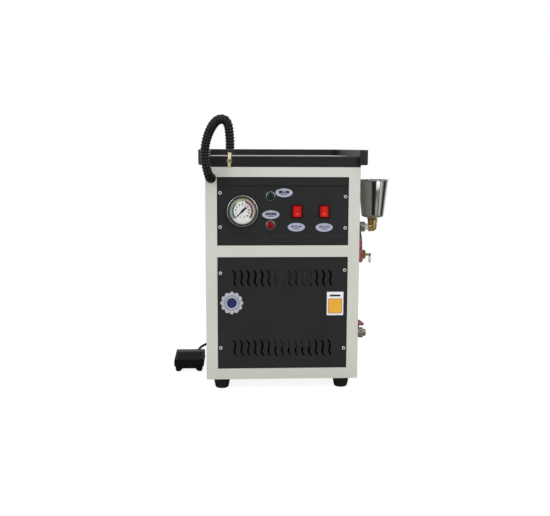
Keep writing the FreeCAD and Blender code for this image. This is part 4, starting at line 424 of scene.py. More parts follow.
oval_half = (0.0189, 0.0095)
oval_steps = 72
oval_profile = ((1.0, 0.0), (1.0, 0.00035), (0.985, 0.0006), (0.93, 0.0006), (0.90, 0.00048),
                (0.60, 0.00066), (0.25, 0.00076))
drop = [(0, 0.0032)] + [(0.0019 * math.cos(a), -0.0010 + 0.0019 * math.sin(a))
                        for a in [math.radians(25 - 230 * i / 14) for i in range(15)]]
water = [drop] + [
    stroke([(side * (0.0030 + 0.0002 * i), 0.0008 * math.sin(i * 0.42) + above)
            for i in range(43)], 0.0020) for side in (-1, 1) for above in (0.0016, -0.0016)]
heat = [stroke([(0.0035 * count + 0.0007 * math.sin(i * 0.5), -0.0026 + 0.00026 * i)
                for i in range(21)], 0.0023) for count in range(-3, 4)]
power = [ring_part(0.0016, 0.0029, 38, 322, 40), stroke([(0, 0.0003), (0, 0.0034)], 0.0012)]
power += [stroke([(side * 0.0050, 0), (side * 0.0115, 0)], 0.0028) for side in (-1, 1)]
element = [stroke([(-0.0118, 0), (-0.0084, 0)] + [
    (-0.0076 + 0.0019 * i, 0.0024 * (-1) ** i) for i in range(9)] + [
    (0.0084, 0), (0.0118, 0)], 0.0022)]
small_line = stroke([(-0.0066, -0.0050), (0.0066, -0.0050)], 0.0014)
ovals = (("water", 0.0021, 0.4445, water), ("ready", -0.0267, 0.3965, heat),
         ("power", 0.0297, 0.3688, power), ("heater", 0.0914, 0.3681, element))
for sign, x, z, picture in ovals:
    rings = []
    for share, out in oval_profile:
        rings.append([(x + oval_half[0] * share * math.cos(2 * math.pi * k / oval_steps),
                       control_face - out,
                       z + oval_half[1] * share * math.sin(2 * math.pi * k / oval_steps))
                      for k in range(oval_steps)])
    add_piece("oval_plate_" + sign, skinned("oval_plate_" + sign, rings, 50.0), silver_film,
              "cabinet", "label_plates", slot="plate_silver")
    spot = Vector((x, control_face - 0.0006, z + 0.0014))
    mesh = prisms("oval_print_" + sign, [*picture, small_line], spot, across, up, 0.00026)
    add_piece("oval_print_" + sign, mesh, sign_ink, "cabinet", slot="plate_silver")

seal_place = Vector((-0.113, louvre_face, 0.200))
seal_petals, seal_steps, seal_ridges = 12, 192, 24
petal_valley, petal_rise, petal_middle = 0.0207, 0.0047, 0.0205
seal_silver, place = new_finish("seal_silver")
haze = speckle(place, 0.004, 4.0)
shaded(place, dyed(haze, (0.60, 0.60, 0.68), (0.40, 0.41, 0.48)), 0.30 + haze * 0.2, 0.35,
       speckle(place, 0.0009, 2.0), 0.00003)
seal_slate, place = new_finish("seal_slate")
haze = speckle(place, 0.0016, 4.0)
shaded(place, dyed(haze, (0.13, 0.16, 0.21), (0.26, 0.30, 0.37)), 0.35 + haze * 0.15)
seal_blue, place = new_finish("seal_blue")
haze = speckle(place, 0.006, 4.0)
shaded(place, dyed(haze, (0.004, 0.010, 0.060), (0.010, 0.022, 0.130)), 0.28 + haze * 0.12)


def seal_ring(share, radius, out):
    """One ring of the seal: its petals' outline by a share, or a circle where that is 0."""
    ring = []
    for k in range(seal_steps):
        angle = 2 * math.pi * k / seal_steps
        reach = radius
        if share:
            wave = abs(math.cos(seal_petals * angle / 2)) ** 0.7
            reach = share * (petal_valley + petal_rise * wave)
        ring.append(seal_place + Vector((reach * math.sin(angle), -out,
                                         reach * math.cos(angle))))
    return ring


rings = [seal_ring(1.0, 0, 0.0), seal_ring(1.0, 0, 0.00028), seal_ring(0.975, 0, 0.00042),
         seal_ring(0.90, 0, 0.00046), seal_ring(0, 0.0180, 0.00032), seal_ring(0, 0.0060, 0.00032)]
add_piece("round_seal", skinned("round_seal", rings, 40.0), seal_silver, "cabinet",
          "label_plates", slot="plate_silver")
petal_turns = [2 * math.pi * k / seal_petals for k in range(seal_petals)]
seal_front = seal_place + Vector((0, -0.00030, 0))
petals = [disc(0.0029, (petal_middle * math.sin(a), petal_middle * math.cos(a)), 24)
          for a in petal_turns]
ridge_turns = [360 * k / seal_ridges for k in range(seal_ridges)]
ridges = [ring_part(0.0146, 0.0171, turn - 2.2, turn + 2.2, 4) for turn in ridge_turns]
seal_prints = (
    ("seal_petals", petals, seal_silver, 0.00028),
    ("seal_band", flat_ring(0.0141, 0.0176, 48), seal_slate, 0.00010),
    ("seal_middle", [disc(0.0113, steps=72)], seal_blue, 0.00010),
    ("seal_ridges", ridges, seal_silver, 0.00016),
)
for name, outlines, material, thick in seal_prints:
    mesh = prisms(name, outlines, seal_front, across, up, thick)
    add_piece(name, mesh, material, "cabinet", slot="plate_silver")

card_place = Vector((0.1175, louvre_face, 0.1975))


def rounded(width, height, radius, steps=8):
    """The outline of a rectangle with rounded corners, about its middle."""
    outline = []
    for quarter, (x, z) in enumerate(((1, 1), (1, -1), (-1, -1), (-1, 1))):
        for i in range(steps + 1):
            angle = math.radians(90 * (quarter + i / steps))
            outline.append((x * (width / 2 - radius) + radius * math.sin(angle),
                            z * (height / 2 - radius) + radius * math.cos(angle)))
    return outline


card_white, place = new_finish("card_white")
haze = speckle(place, 0.012, 4.0)
shaded(place, dyed(haze, (0.80, 0.80, 0.80), (0.68, 0.69, 0.71)), 0.42 + haze * 0.1, 0.0,
       speckle(place, 0.002, 3.0), 0.00002)
card_amber, place = new_finish("card_amber")
haze = speckle(place, 0.006, 4.0)
shaded(place, dyed(haze, (0.80, 0.42, 0.020), (0.66, 0.30, 0.015)), 0.4 + haze * 0.1)
add_piece("card", prisms("card", [rounded(0.037, 0.053, 0.0015)], card_place, across, up,
                         0.0004), card_white, "cabinet", "label_plates", slot="plate_silver")
card_front = card_place + Vector((0, -0.00040, 0))
card_prints = (
    ("card_border", rounded(0.0315, 0.0335, 0.003), -0.0055, sign_ink, 0.00006),
    ("card_field", rounded(0.0297, 0.0317, 0.0024), -0.0055, card_amber, 0.00012),
    ("card_line", rounded(0.024, 0.0042, 0.0012), 0.0182, sign_ink, 0.00008),
)
for name, outline, above, material, thick in card_prints:
    mesh = prisms(name, [outline], card_front + Vector((0, 0, above)), across, up, thick)
    add_piece(name, mesh, material, "cabinet", slot="plate_silver")


# Pressure gauge. A steel case with a rolled bezel and flat glass over a white dial, on a stem
# at the back; the needle sits on the movement's arbor.
bezel_steel, place = new_finish("bezel_steel")
smear = speckle(place, 0.006, 4.0)
shaded(place, dyed(smear, (0.56, 0.55, 0.51), (0.44, 0.43, 0.39)), 0.12 + smear * 0.12, 1.0,
       speckle(place, 0.0008, 2.0), 0.00001)
coat(bezel_steel, "gauge_bezel")

case_black, place = new_finish("case_black")
cloud = speckle(place, 0.008, 3.0)
shaded(place, dyed(cloud, (0.006, 0.006, 0.006), (0.018, 0.018, 0.018)), 0.4 + cloud * 0.15,
       0.0, speckle(place, 0.0008, 2.0), 0.00004)
coat(case_black, "gauge_case", "hose_gland", "hose_ferrule", "pedal_switch", "rear_glands",
     "control_gear")

dial_white, place = new_finish("dial_white")
cloud = speckle(place, 0.010, 3.0)
shaded(place, dyed(cloud, (0.99, 1.00, 0.99), (0.96, 0.97, 0.96)), 0.45 + cloud * 0.1)
coat(dial_white, "gauge_dial")

needle_black, place = new_finish("needle_black")
cloud = speckle(place, 0.003, 3.0)
shaded(place, dyed(cloud, (0.004, 0.004, 0.004), (0.012, 0.012, 0.012)), 0.40 + cloud * 0.15)
coat(needle_black, "gauge_needle")

gauge_glass, place = new_finish("gauge_glass")
dust = speckle(place, 0.004, 5.0)
clear = place.node("BsdfTransparent", Color=(1, 1, 1))
gloss = place.node("BsdfPrincipled", Base_Color=(0.4, 0.42, 0.4), Roughness=0.03 + dust * 0.05)
sheen = ramped(place.node("Fresnel", IOR=1.45), 0.03, 1.0, 0.0, 0.7) + dust * 0.02
place.node("OutputMaterial", Surface=place.node("MixShader", i0=sheen, i1=clear, i2=gloss))
coat(gauge_glass, "gauge_lens")

dial_x, dial_z, dial_face, needle_face, hub_face = -0.089, 0.4045, -0.19832, -0.1992, -0.1990
dial_place = Vector((dial_x, dial_face, dial_z))
dial_bands = (
    ("band_green", 0.0222, 0.0292, -135, -38, (0.44, 0.58, 0.49), 0.00002),
    ("band_yellow", 0.0222, 0.0292, -38, 18, (0.56, 0.57, 0.34), 0.00002),
    ("band_pink", 0.0222, 0.0292, 18, 135, (0.80, 0.64, 0.58), 0.00002),
    ("field_pink", 0.0095, 0.0200, 22, 108, (0.98, 0.80, 0.86), 0.00002),
    ("arc_green", 0.0196, 0.0224, -132, -38, (0.020, 0.050, 0.036), 0.00004),
    ("arc_red", 0.0196, 0.0232, 18, 131, (0.060, 0.005, 0.014), 0.00006),
)
for name, inner, outer, start, end, ink, thick in dial_bands:
    material, place = new_finish("dial_" + name)
    cloud = speckle(place, 0.002, 3.0)
    shaded(place, dyed(cloud, ink, tuple(c * 0.85 for c in ink)), 0.42 + cloud * 0.1)
    mesh = prisms("dial_" + name, [ring_part(inner, outer, start, end, 48)], dial_place,
                  across, up, thick)
    add_piece("dial_" + name, mesh, material, "cabinet", slot="white_dial")
zero_angle, full_turn, tick_count, tick_reach = -135, 270, 50, 0.0232
ticks = []
for count in range(tick_count + 1):
    angle = math.radians(zero_angle + full_turn * count / tick_count)
    long, width = (0.0042, 0.00055) if count % 5 == 0 else (0.0019, 0.0003)
    way = Vector((math.sin(angle), math.cos(angle)))
    outer, inner = way * tick_reach, way * (tick_reach - long)
    ticks.append(stroke([tuple(outer), tuple(inner)], width))
ticks += [disc(0.0013, (side * 0.00440, -0.0132), 20) for side in (-1, 1)]
ticks.append(disc(0.0008, (0, -0.0103), 16))
add_piece("dial_ticks", prisms("dial_ticks", ticks, dial_place, across, up, 0.00009),
          needle_black, "cabinet", slot="white_dial")
needle_way = Vector((-math.sqrt(0.5), -math.sqrt(0.5)))
needle_side = Vector((needle_way.y, -needle_way.x))
needle_shape = ((0.0222, 0.0005), (0.0050, 0.0013), (0.0022, 0.0023), (0.0, 0.0026),
                (-0.0050, 0.0021), (-0.0085, 0.0023), (-0.0105, 0.0026), (-0.0112, 0.0020))
outline = [tuple(needle_way * reach + needle_side * half) for reach, half in needle_shape]
outline += [tuple(needle_way * reach - needle_side * half)
            for reach, half in reversed(needle_shape)]
needle = prisms("needle", [outline], Vector((dial_x, needle_face, dial_z)), across, up, 0.0005)
add_piece("needle_blade", needle, needle_black, "needle", "gauge_needle", slot="needle_black")
hub = prisms("needle_hub", [disc(0.0024, steps=36)], Vector((dial_x, hub_face, dial_z)), across,
             up, 0.0011)
add_piece("needle_hub", hub, needle_black, "needle", slot="needle_black")
last_number, number_reach = 10, 0.0146
for number in range(last_number + 1):
    angle = math.radians(zero_angle + full_turn * number / last_number)
    text = bpy.data.curves.new("dial_number_%d" % number, "FONT")
    text.body = str(number)
    text.size = 0.0050
    text.offset = 0.00030
    text.align_x, text.align_y = "CENTER", "CENTER"
    text.extrude = 0.00004
    numeral = bpy.data.objects.new("dial_number_%d" % number, text)
    numeral.location = dial_place + Vector((number_reach * math.sin(angle), -0.00005,
                                            number_reach * math.cos(angle)))
    numeral.rotation_euler = (math.radians(90), 0, 0)
    bpy.context.scene.collection.objects.link(numeral)
    text.materials.append(needle_black)
    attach(numeral, "cabinet")


# Pilot lamps. Chrome-plated holders, each with a domed lens of tinted plastic and a nut
# behind the panel.
chrome_plate, place = new_finish("chrome_plate")
smear = speckle(place, 0.004, 4.0)
shaded(place, dyed(smear, (0.30, 0.30, 0.30), (0.22, 0.22, 0.215)), 0.10 + smear * 0.12, 1.0,
       speckle(place, 0.0010, 2.0), 0.000015)
coat(chrome_plate, "pilot_lamps")

for node, deep, pale in (("green_lens", (0.002, 0.012, 0.005), (0.004, 0.026, 0.012)),
                         ("red_lens", (0.13, 0.001, 0.002), (0.24, 0.002, 0.003))):
    material, place = new_finish(node + "_plastic")
    facets = speckle(place, 0.0018, 1.0)
    shaded(place, dyed(facets, deep, pale), 0.12 + facets * 0.10, 0.0,
           facets, 0.00010, Specular_IOR_Level=0.15)
    coat(material, node)


# Switches. Two red rockers, painted bright in their middles as if lit from inside and painted
# darker towards their edges as shade, in dark red housings that snap into the panel; a line and
# a ring are printed on each rocker's two halves.
housing_red, place = new_finish("housing_red")
cloud = speckle(place, 0.006, 3.0)
shaded(place, dyed(cloud, (0.036, 0.0005, 0.001), (0.060, 0.001, 0.002)), 0.34 + cloud * 0.12,
       0.0, speckle(place, 0.0007, 2.0), 0.00004, Specular_IOR_Level=0.15)
coat(housing_red, "switch_housings")


def off_from(value, middle):
    """How far a value is from a middle, either way."""
    return value.maths("ABSOLUTE", value - middle)


rocker_places, rocker_z = (0.0311, 0.0910), 0.4033
rocker_red, place = new_finish("rocker_red")
cloud = speckle(place, 0.006, 3.0)
# Painted glow and shade: each rocker is painted bright red in its middle, as if lit from inside,
# and darker towards its sides and ends.
sideways = least([off_from(axis_of(place, "X"), x) for x in rocker_places])
unlit_sides = ramped(sideways, 0.0070, 0.0092)
unlit_ends = ramped(off_from(axis_of(place, "Z"), rocker_z), 0.0100, 0.0130)
unlit = unlit_sides + unlit_ends * (1 - unlit_sides)
shaded(place, dyed(unlit, (0.44, 0.005, 0.003), (0.12, 0.001, 0.002)), 0.32 + cloud * 0.12,
       0.0, speckle(place, 0.0012, 1.0), 0.00003, Specular_IOR_Level=0.15)
coat(rocker_red, "power_rocker", "heater_rocker")

mark_paint, place = new_finish("mark_paint")
cloud = speckle(place, 0.0010, 3.0)
shaded(place, dyed(cloud, (0.84, 0.070, 0.025), (0.76, 0.045, 0.018)), 0.4 + cloud * 0.1)
valley_y, valley_z, mark_reach, mark_thick = -0.199042, rocker_z + 0.000475, 0.0062, 0.00006
slope = Vector((0, -0.3746, -0.9272))
for name, x, body in zip(("power", "heater"), rocker_places,
                         ("power_rocker_body", "heater_rocker_body")):
    valley = Vector((x, valley_y, valley_z))
    line = prisms(name + "_mark_line", [rounded(0.0010, 0.0052, 0.0004)],
                  valley + up * mark_reach, across, up, mark_thick)
    add_piece(name + "_mark_line", line, mark_paint, body, slot="rocker_red")
    circle = prisms(name + "_mark_ring", flat_ring(0.0015, 0.0024, 24),
                    valley + slope * mark_reach, across, -slope, mark_thick)
    add_piece(name + "_mark_ring", circle, mark_paint, body, slot="rocker_red")


# Steam hose. Corrugated black rubber on a gland in the front's corner; it springs up in a
# loop, its ribs packed at the top, and its turned brass nozzle hangs in front of the tray.
def soft_line(name, points, radius=0.0):
    """An open NURBS line steered by a route's points, round where it has a radius."""
    curve = bpy.data.curves.new(name, "CURVE")
    curve.dimensions = "3D"
    spline = curve.splines.new("NURBS")
    spline.points.add(len(points) - 1)
    for knot, point in zip(spline.points, points):
        knot.co = (*point, 1)
    spline.order_u = 3
    spline.use_endpoint_u = True
    spline.resolution_u = 12
    curve.bevel_depth = radius
    curve.bevel_resolution = 5
    curve.use_fill_caps = radius > 0
    return curve


def points_of(name, points):
    """The points of the smooth line that a route's points steer."""
    line = bpy.data.objects.new(name, soft_line(name, points))
    mesh = bpy.data.meshes.new_from_object(line)
    found = [vertex.co.copy() for vertex in mesh.vertices]
    bpy.data.objects.remove(line)
    return found


def tube_along(name, line, stations, steps=28, sharp=50.0):
    """A closed tube along a line of points, with (distance, radius) stations."""
    reached = [0.0]
    for first, second in zip(line, line[1:]):
        reached.append(reached[-1] + (second - first).length)
    rings, side = [], None
    for distance, radius in stations:
        k = next((i for i in range(1, len(reached)) if reached[i] >= distance), len(reached) - 1)
        share = (distance - reached[k - 1]) / (reached[k] - reached[k - 1])
        centre = line[k - 1].lerp(line[k], share)
        ahead = (line[min(k + 1, len(line) - 1)] - line[max(k - 2, 0)]).normalized()
        side = (side or Vector((1, 0, 0)).cross(ahead).cross(ahead))
        side = (side - ahead * side.dot(ahead)).normalized()
        other = ahead.cross(side)
        rings.append([centre + (side * math.cos(2 * math.pi * j / steps)
                                + other * math.sin(2 * math.pi * j / steps)) * radius
                      for j in range(steps)])
    return skinned(name, rings, sharp)


hose_route = [
    (-0.15735, -0.204, 0.4765), (-0.1580, -0.232, 0.4765), (-0.1610, -0.246, 0.4855),
    (-0.1655, -0.250, 0.501), (-0.1688, -0.250, 0.5225), (-0.1675, -0.250, 0.5465),
    (-0.1608, -0.250, 0.571), (-0.1502, -0.250, 0.591), (-0.1385, -0.250, 0.6012),
    (-0.1258, -0.250, 0.6005), (-0.1188, -0.250, 0.5905), (-0.1163, -0.250, 0.5715),
    (-0.1151, -0.250, 0.5545), (-0.1154, -0.250, 0.540),
]
hose_line = points_of("hose_line", hose_route)
hose_length = sum((b - a).length for a, b in zip(hose_line, hose_line[1:]))
rib_count, rib_steps = 38, 10
hose_valley, hose_crest, packed_valley, packed_crest = 0.0083, 0.0100, 0.0097, 0.0105
loop_middle, loop_half = 0.64, 0.15
hose_stations = []
for i in range(rib_count * rib_steps + 1):
    turn = i / rib_steps
    swell = 0.5 - 0.5 * math.cos(2 * math.pi * turn)
    packed = math.exp(-((turn / rib_count - loop_middle) / loop_half) ** 2)
    valley = hose_valley + (packed_valley - hose_valley) * packed
    crest = hose_crest + (packed_crest - hose_crest) * packed
    hose_stations.append((hose_length * turn / rib_count, valley + (crest - valley) * swell))
hose_rubber, place = new_finish("hose_rubber")
bloom = speckle(place, 0.007, 4.0)
shaded(place, dyed(bloom, (0.002, 0.002, 0.002), (0.006, 0.006, 0.005)), 0.26 + bloom * 0.12,
       0.0, speckle(place, 0.0007, 3.0), 0.00005, Specular_IOR_Level=0.18)
hose = add_piece("corrugated_hose", tube_along("corrugated_hose", hose_line, hose_stations),
                 hose_rubber, "cabinet", "steam_hose", slot="hose_rubber")

turned_brass, place = new_finish("turned_brass")
patina = speckle(place, 0.007, 5.0)
tool_marks = speckle(place, 0.0007, 1.0)
shaded(place, dyed(patina, (0.84, 0.77, 0.53), (0.66, 0.57, 0.35)), 0.26 + patina * 0.10, 1.0,
       tool_marks, 0.00001)
coat(turned_brass, "steam_nozzle")


# Filler cup and valves. A cup of thin polished steel stands on a brass nut and elbow over the
# feed valve. Both ball valves are of nickel-plated brass on nipples, the upper one sealed with
# white tape; a brass safety valve with a steel ring sits between them.
aged_brass, place = new_finish("aged_brass")
patina = speckle(place, 0.006, 5.0)
nut_edge = 0.3757
# The brass is darker in a thin band about 1 mm either side of the nut's edge.
nut_edge_darkening = ramped(off_from(axis_of(place, "Z"), nut_edge), 0.0005, 0.0014, 1.0, 0.0)
brass = dyed(patina, (0.62, 0.46, 0.19), (0.27, 0.17, 0.058))
shaded(place, dyed(nut_edge_darkening, brass, (0.060, 0.040, 0.015)), 0.22 + patina * 0.14, 1.0,
       speckle(place, 0.0010, 2.0), 0.00003)
coat(aged_brass, "cup_fastening", "filler_elbow", "safety_valve_body", "safety_valve_stem",
     "immersion_heater", "solenoid_valve", "pressure_switch")

cup_steel, place = new_finish("cup_steel")
smear = speckle(place, 0.014, 4.0)
spinning = speckle(place, 0.0009, 2.0, (60.0, 60.0, 1.0))
shaded(place, dyed(smear, (0.35, 0.345, 0.33), (0.30, 0.295, 0.28)), 0.02 + smear * 0.03, 1.0,
       spinning, 0.000004)
coat(cup_steel, "filler_cup")

satin_nickel, place = new_finish("satin_nickel")
patina = speckle(place, 0.006, 5.0)
cast = speckle(place, 0.0010, 3.0)
shaded(place, dyed(patina, (0.36, 0.335, 0.295), (0.23, 0.205, 0.175)), 0.32 + patina * 0.18, 1.0,
       cast, 0.00006)
coat(satin_nickel, "pipe_nipples", "feed_valve_body", "drain_valve_body")

handle_steel, place = new_finish("handle_steel")
tarnish = speckle(place, 0.004, 4.0)
shaded(place, dyed(tarnish, (0.20, 0.19, 0.18), (0.10, 0.095, 0.09)), 0.34 + tarnish * 0.16, 1.0,
       speckle(place, 0.0006, 2.0), 0.00002)
coat(handle_steel, "feed_valve_spindle", "drain_valve_spindle", "feed_valve_lever",
     "drain_valve_lever", "pull_ring")

tape_white, place = new_finish("tape_white")
wraps = speckle(place, 0.0008, 3.0, (1, 6.0, 6.0))
shaded(place, dyed(wraps, (0.80, 0.79, 0.77), (0.62, 0.60, 0.58)), 0.6, 0.0, wraps, 0.00012)
tape_start, tape_end, tape_radius, tape_swell, tape_turns = 0.1998, 0.2088, 0.0071, 0.0006, 3.2
valve_low, valve_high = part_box("feed_valve_body")
pipe_y, pipe_z = -0.080, (valve_low.z + valve_high.z) / 2
tape_rings, tape_steps = 12, 48
rings = []
for i in range(tape_rings + 1):
    share = i / tape_rings
    rings.append([])
    for k in range(tape_steps):
        angle = 2 * math.pi * k / tape_steps
        lap = 0.5 + 0.5 * math.sin(2 * math.pi * share * tape_turns + angle)
        radius = tape_radius + tape_swell * lap * math.sin(math.pi * min(max(share, 0.04), 0.96))
        rings[-1].append((tape_start + (tape_end - tape_start) * share,
                          pipe_y + radius * math.cos(angle), pipe_z + radius * math.sin(angle)))
add_piece("thread_tape", skinned("thread_tape", rings, 60.0), tape_white, "cabinet",
          slot="nickel")


# Valve grips. Dark red vinyl, dipped over the flat steel levers of both ball valves.
vinyl_red, place = new_finish("vinyl_red")
cloud = speckle(place, 0.009, 4.0)
# The grip is mottled between a dull pink and a dark red on the same pattern as its bumps. This is
# partly the dipped vinyl's own mottle and partly painted highlights on the pale patches with
# painted shade on the dark ones.
pits_and_painted_sheen = ramped(speckle(place, 0.0034, 2.0), 0.42, 0.60)
shaded(place, dyed(pits_and_painted_sheen, (0.40, 0.115, 0.125), (0.14, 0.012, 0.018)), 0.34 + cloud * 0.18,
       0.0, pits_and_painted_sheen, 0.0004, Specular_IOR_Level=0.35)
coat(vinyl_red, "feed_valve_grip", "drain_valve_grip")


# Foot pedal. A black textured treadle with a ribbed rubber mat and a heel ridge; it tips on a
# pin over a moulded base with four feet, and a coil of spring wire inside brings it back up.
pedal_black, place = new_finish("pedal_black")
cloud = speckle(place, 0.012, 4.0)
leather = speckle(place, 0.0013, 4.0)
# Painted light: the treadle is painted lighter in patches on its top, which faces the light above,
# than on its front.
painted_light_top = ramped(axis_of(place, "Z"), 0.0285, 0.033) * cloud
shaded(place, dyed(cloud * 0.5 + painted_light_top * 0.5, (0.003, 0.003, 0.0027), (0.008, 0.008, 0.007)),
       0.40 + cloud * 0.14, 0.0, leather, 0.00012, Specular_IOR_Level=0.12)
coat(pedal_black, "pedal_treadle", "pedal_base")

tread_middle = Vector((-0.2185, -0.001, 0.03103))
tread_slope = math.atan2(0.0335 - 0.0300, 0.094)
along = Vector((0, math.cos(tread_slope), math.sin(tread_slope)))
outwards = across.cross(along)
mat_rubber, place = new_finish("mat_rubber")
bloom = speckle(place, 0.009, 4.0)
shaded(place, dyed(bloom, (0.005, 0.0055, 0.004), (0.011, 0.012, 0.008)), 0.6 + bloom * 0.15,
       0.0, speckle(place, 0.0008, 3.0), 0.0001, Specular_IOR_Level=0.2)
mat = prisms("tread_mat", [rounded(0.0640, 0.0640, 0.003)],
             tread_middle - along * 0.0085, across, along, 0.0006)
add_piece("tread_mat", mat, mat_rubber, "treadle", slot="pedal_enamel")
rib_gap, first_rib, tread_rib_count = 0.0048, -0.0373, 13
tread_ribs = [[(a, b + rib_gap * k + first_rib) for a, b in rounded(0.0590, 0.0020, 0.0009)]
              for k in range(tread_rib_count)]
mesh = prisms("tread_ribs", tread_ribs, tread_middle + outwards * 0.0006, across, along, 0.0005)
add_piece("tread_ribs", mesh, mat_rubber, "treadle", slot="pedal_enamel")
heel_finish, place = new_finish("heel_finish")
worn = speckle(place, 0.006, 4.0)
shaded(place, dyed(worn, (0.034, 0.034, 0.031), (0.058, 0.058, 0.053)), 0.42 + worn * 0.14,
       0.0, speckle(place, 0.0012, 3.0), 0.0001)
heel_profile = ((0.0262, -0.0004), (0.0268, 0.0006), (0.0290, 0.0012), (0.0400, 0.0016),
                (0.0416, 0.0012), (0.0424, 0.0004), (0.0424, -0.0004))
heel_half, heel_middle = 0.0335, 0.0343
rings = []
for side, shrink in ((-1, 0.6), (-0.985, 1.0), (0.985, 1.0), (1, 0.6)):
    rings.append([tread_middle + across * (heel_half * side)
                  + along * (heel_middle + (y - heel_middle) * shrink)
                  + outwards * (z * shrink) for y, z in heel_profile])
add_piece("heel_rim", skinned("heel_rim", rings, 40.0), heel_finish, "treadle",
          slot="pedal_enamel")

spring_steel, place = new_finish("spring_steel")
cloud = speckle(place, 0.002, 3.0)
shaded(place, dyed(cloud, (0.42, 0.42, 0.43), (0.30, 0.29, 0.28)), 0.3 + cloud * 0.15, 1.0)
coat(spring_steel, "pedal_spring")

spring_low, spring_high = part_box("pedal_spring")
spring_middle = (spring_low + spring_high) / 2
spring_wire, spring_turns, spring_dead, spring_steps = 0.0007, 5.5, 0.6, 24
spring_radius = (spring_high.x - spring_low.x) / 2 - spring_wire
spring_line = []
for i in range(int(spring_turns * spring_steps) + 1):
    turn = i / spring_steps
    climb = min(max((turn - spring_dead) / (spring_turns - 2 * spring_dead), 0), 1)
    spring_line.append(Vector((
        spring_middle.x + spring_radius * math.cos(2 * math.pi * turn),
        spring_middle.y + spring_radius * math.sin(2 * math.pi * turn),
        spring_low.z + spring_wire + (spring_high.z - spring_low.z - 2 * spring_wire) * climb)))
spring_length = sum((b - a).length for a, b in zip(spring_line, spring_line[1:]))
spring_stations = [(spring_length * i / (len(spring_line) - 1), spring_wire)
                   for i in range(len(spring_line))]
spring = add_piece("return_spring", tube_along("return_spring", spring_line, spring_stations, 12),
                   spring_steel, "cabinet", "pedal_spring", slot="spring_steel")
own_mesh(spring)


# Pedal cord. A black PVC cord from the pedal round the cabinet's left side to its back, where
# its spare length lies in a tied coil, and up into the rear gland.
cord_run = [
    (-0.202, 0.058, 0.0115), (-0.202, 0.074, 0.010), (-0.2026, 0.098, 0.005),
    (-0.2045, 0.124, 0.0035), (-0.2048, 0.151, 0.0035), (-0.2015, 0.179, 0.0035),
    (-0.1935, 0.207, 0.0035), (-0.178, 0.235, 0.0035), (-0.155, 0.263, 0.0035),
    (-0.124, 0.285, 0.0035), (-0.084, 0.2895, 0.0035),
]
cord_rise = [
    (-0.072, 0.2895, 0.0101), (-0.050, 0.2895, 0.0086), (-0.024, 0.288, 0.0046),
    (0.004, 0.282, 0.0035), (0.026, 0.270, 0.0095), (0.037, 0.256, 0.027),
    (0.040, 0.243, 0.046), (0.040, 0.229, 0.057), (0.040, 0.216, 0.060),
]
coil_middle, coil_radius, coil_pitch, coil_turns = (-0.078, 0.249), 0.0405, 0.0068, 5
coil_steps, coil_low, coil_layer = 20, 0.0035, 0.0069


def coil_point(turn):
    """A point of the coil: it winds in on the floor, climbs, and winds out on top."""
    half = coil_turns / 2
    away = abs(turn - half)
    radius = coil_radius - coil_pitch * (half - away)
    if away < 0.25:
        radius = coil_radius - coil_pitch * (half - 0.25) + 2 * coil_pitch * (away ** 2 - 0.0625)
    climb = min(max((turn - half + 0.25) * 2, 0), 1)
    angle = math.pi / 2 - 2 * math.pi * turn
    return (coil_middle[0] + radius * math.cos(angle), coil_middle[1] + radius * math.sin(angle),
            coil_low + coil_layer * (1 - math.cos(math.pi * climb)) / 2)


cord_coil = [coil_point(i / coil_steps) for i in range(coil_turns * coil_steps + 1)]
cord_route = cord_run + cord_coil + cord_rise
cord_pvc, place = new_finish("cord_pvc")
bloom = speckle(place, 0.010, 4.0)
shaded(place, dyed(bloom, (0.002, 0.002, 0.002), (0.006, 0.006, 0.006)), 0.42 + bloom * 0.16,
       0.0, speckle(place, 0.0012, 2.0), 0.00005, Specular_IOR_Level=0.06)
cord = add_piece("pedal_cord", soft_line("pedal_cord", cord_route, 0.0033), cord_pvc, "cabinet",
                 "pedal_cord_run", "pedal_cord_coil", "pedal_cord_rise", slot="cord_pvc")
cord_line = points_of("cord_line", cord_route)


def relief(name, line):
    """A ribbed sleeve that tapers along the start of a cord."""
    stations = []
    for i in range(8):
        start, radius = 0.0029 * i, 0.0047 - 0.00013 * i
        groove = radius - 0.0006
        stations += [(start, radius), (start + 0.0017, radius), (start + 0.0018, groove),
                     (start + 0.0028, groove)]
    stations.append((0.0235, 0.0034))
    return add_piece(name, tube_along(name, line, stations, 24, 40.0), cord_pvc, "cabinet",
                     slot="cord_pvc")


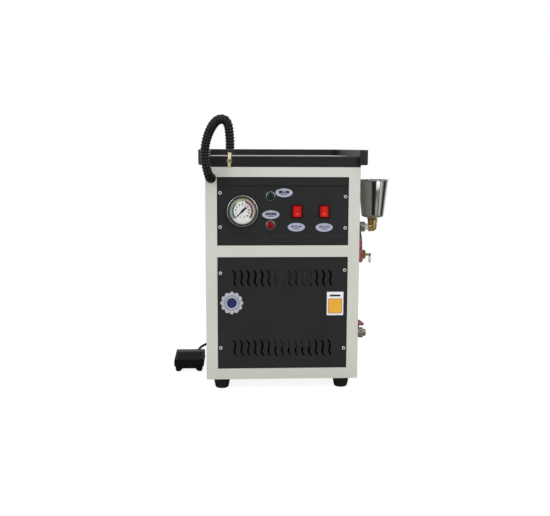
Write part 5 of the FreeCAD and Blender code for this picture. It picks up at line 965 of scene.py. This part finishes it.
pedal_relief = relief("pedal_relief", cord_line)
rear_relief = relief("rear_relief", cord_line[::-1])
tie_inner, tie_outer, tie_low, tie_top = 0.0203, 0.0452, 0.0002, 0.0140
tie_thick, tie_width = 0.0008, 0.009
tie_angle = math.radians(-38)
tie_out = Vector((math.cos(tie_angle), math.sin(tie_angle), 0))
tie_side = Vector((-tie_out.y, tie_out.x, 0))
rings = []
for swell, side in ((0.0, -1), (tie_thick, -1), (tie_thick, 1), (0.0, 1)):
    rings.append([])
    for a, b in rounded(tie_outer - tie_inner + 2 * swell, tie_top - tie_low + swell, 0.0045):
        spot = Vector((*coil_middle, 0)) + tie_out * ((tie_inner + tie_outer) / 2 + a)
        rings[-1].append(spot + tie_side * (side * tie_width / 2)
                         + Vector((0, 0, tie_low + (tie_top + swell) / 2 + b)))
count = len(rings[0])
points = [tuple(point) for ring in rings for point in ring]
faces = [(i * count + k, i * count + (k + 1) % count, ((i + 1) % 4) * count + (k + 1) % count,
          ((i + 1) % 4) * count + k) for i in range(4) for k in range(count)]
tie_fabric, place = new_finish("tie_fabric")
loops = speckle(place, 0.0007, 2.0)
shaded(place, dyed(loops, (0.010, 0.010, 0.011), (0.034, 0.034, 0.036)), 0.8, 0.0, loops, 0.0002)
coil_tie = add_piece("coil_tie", meshed("coil_tie", points, faces, 40.0), tie_fabric, "cabinet",
                     slot="cord_pvc")


# Boiler and pipes. A brushed steel vessel on a stand ring, with copper pipes to the steam
# valve, the hose, the gauge and the feed valve, all closed inside the cabinet.
boiler_steel, place = new_finish("boiler_steel")
cloud = speckle(place, 0.03, 4.0)
brushed = speckle(place, 0.0010, 2.0, (30.0, 30.0, 1.0))
shaded(place, dyed(cloud, (0.20, 0.19, 0.18), (0.11, 0.10, 0.095)), 0.34 + cloud * 0.16, 1.0,
       brushed, 0.00003)
coat(boiler_steel, "boiler")

copper_pipe, place = new_finish("copper_pipe")
oxide = speckle(place, 0.012, 5.0)
shaded(place, dyed(oxide, (0.55, 0.27, 0.16), (0.24, 0.11, 0.065)), 0.26 + oxide * 0.22, 1.0)
coat(copper_pipe, "pipework")
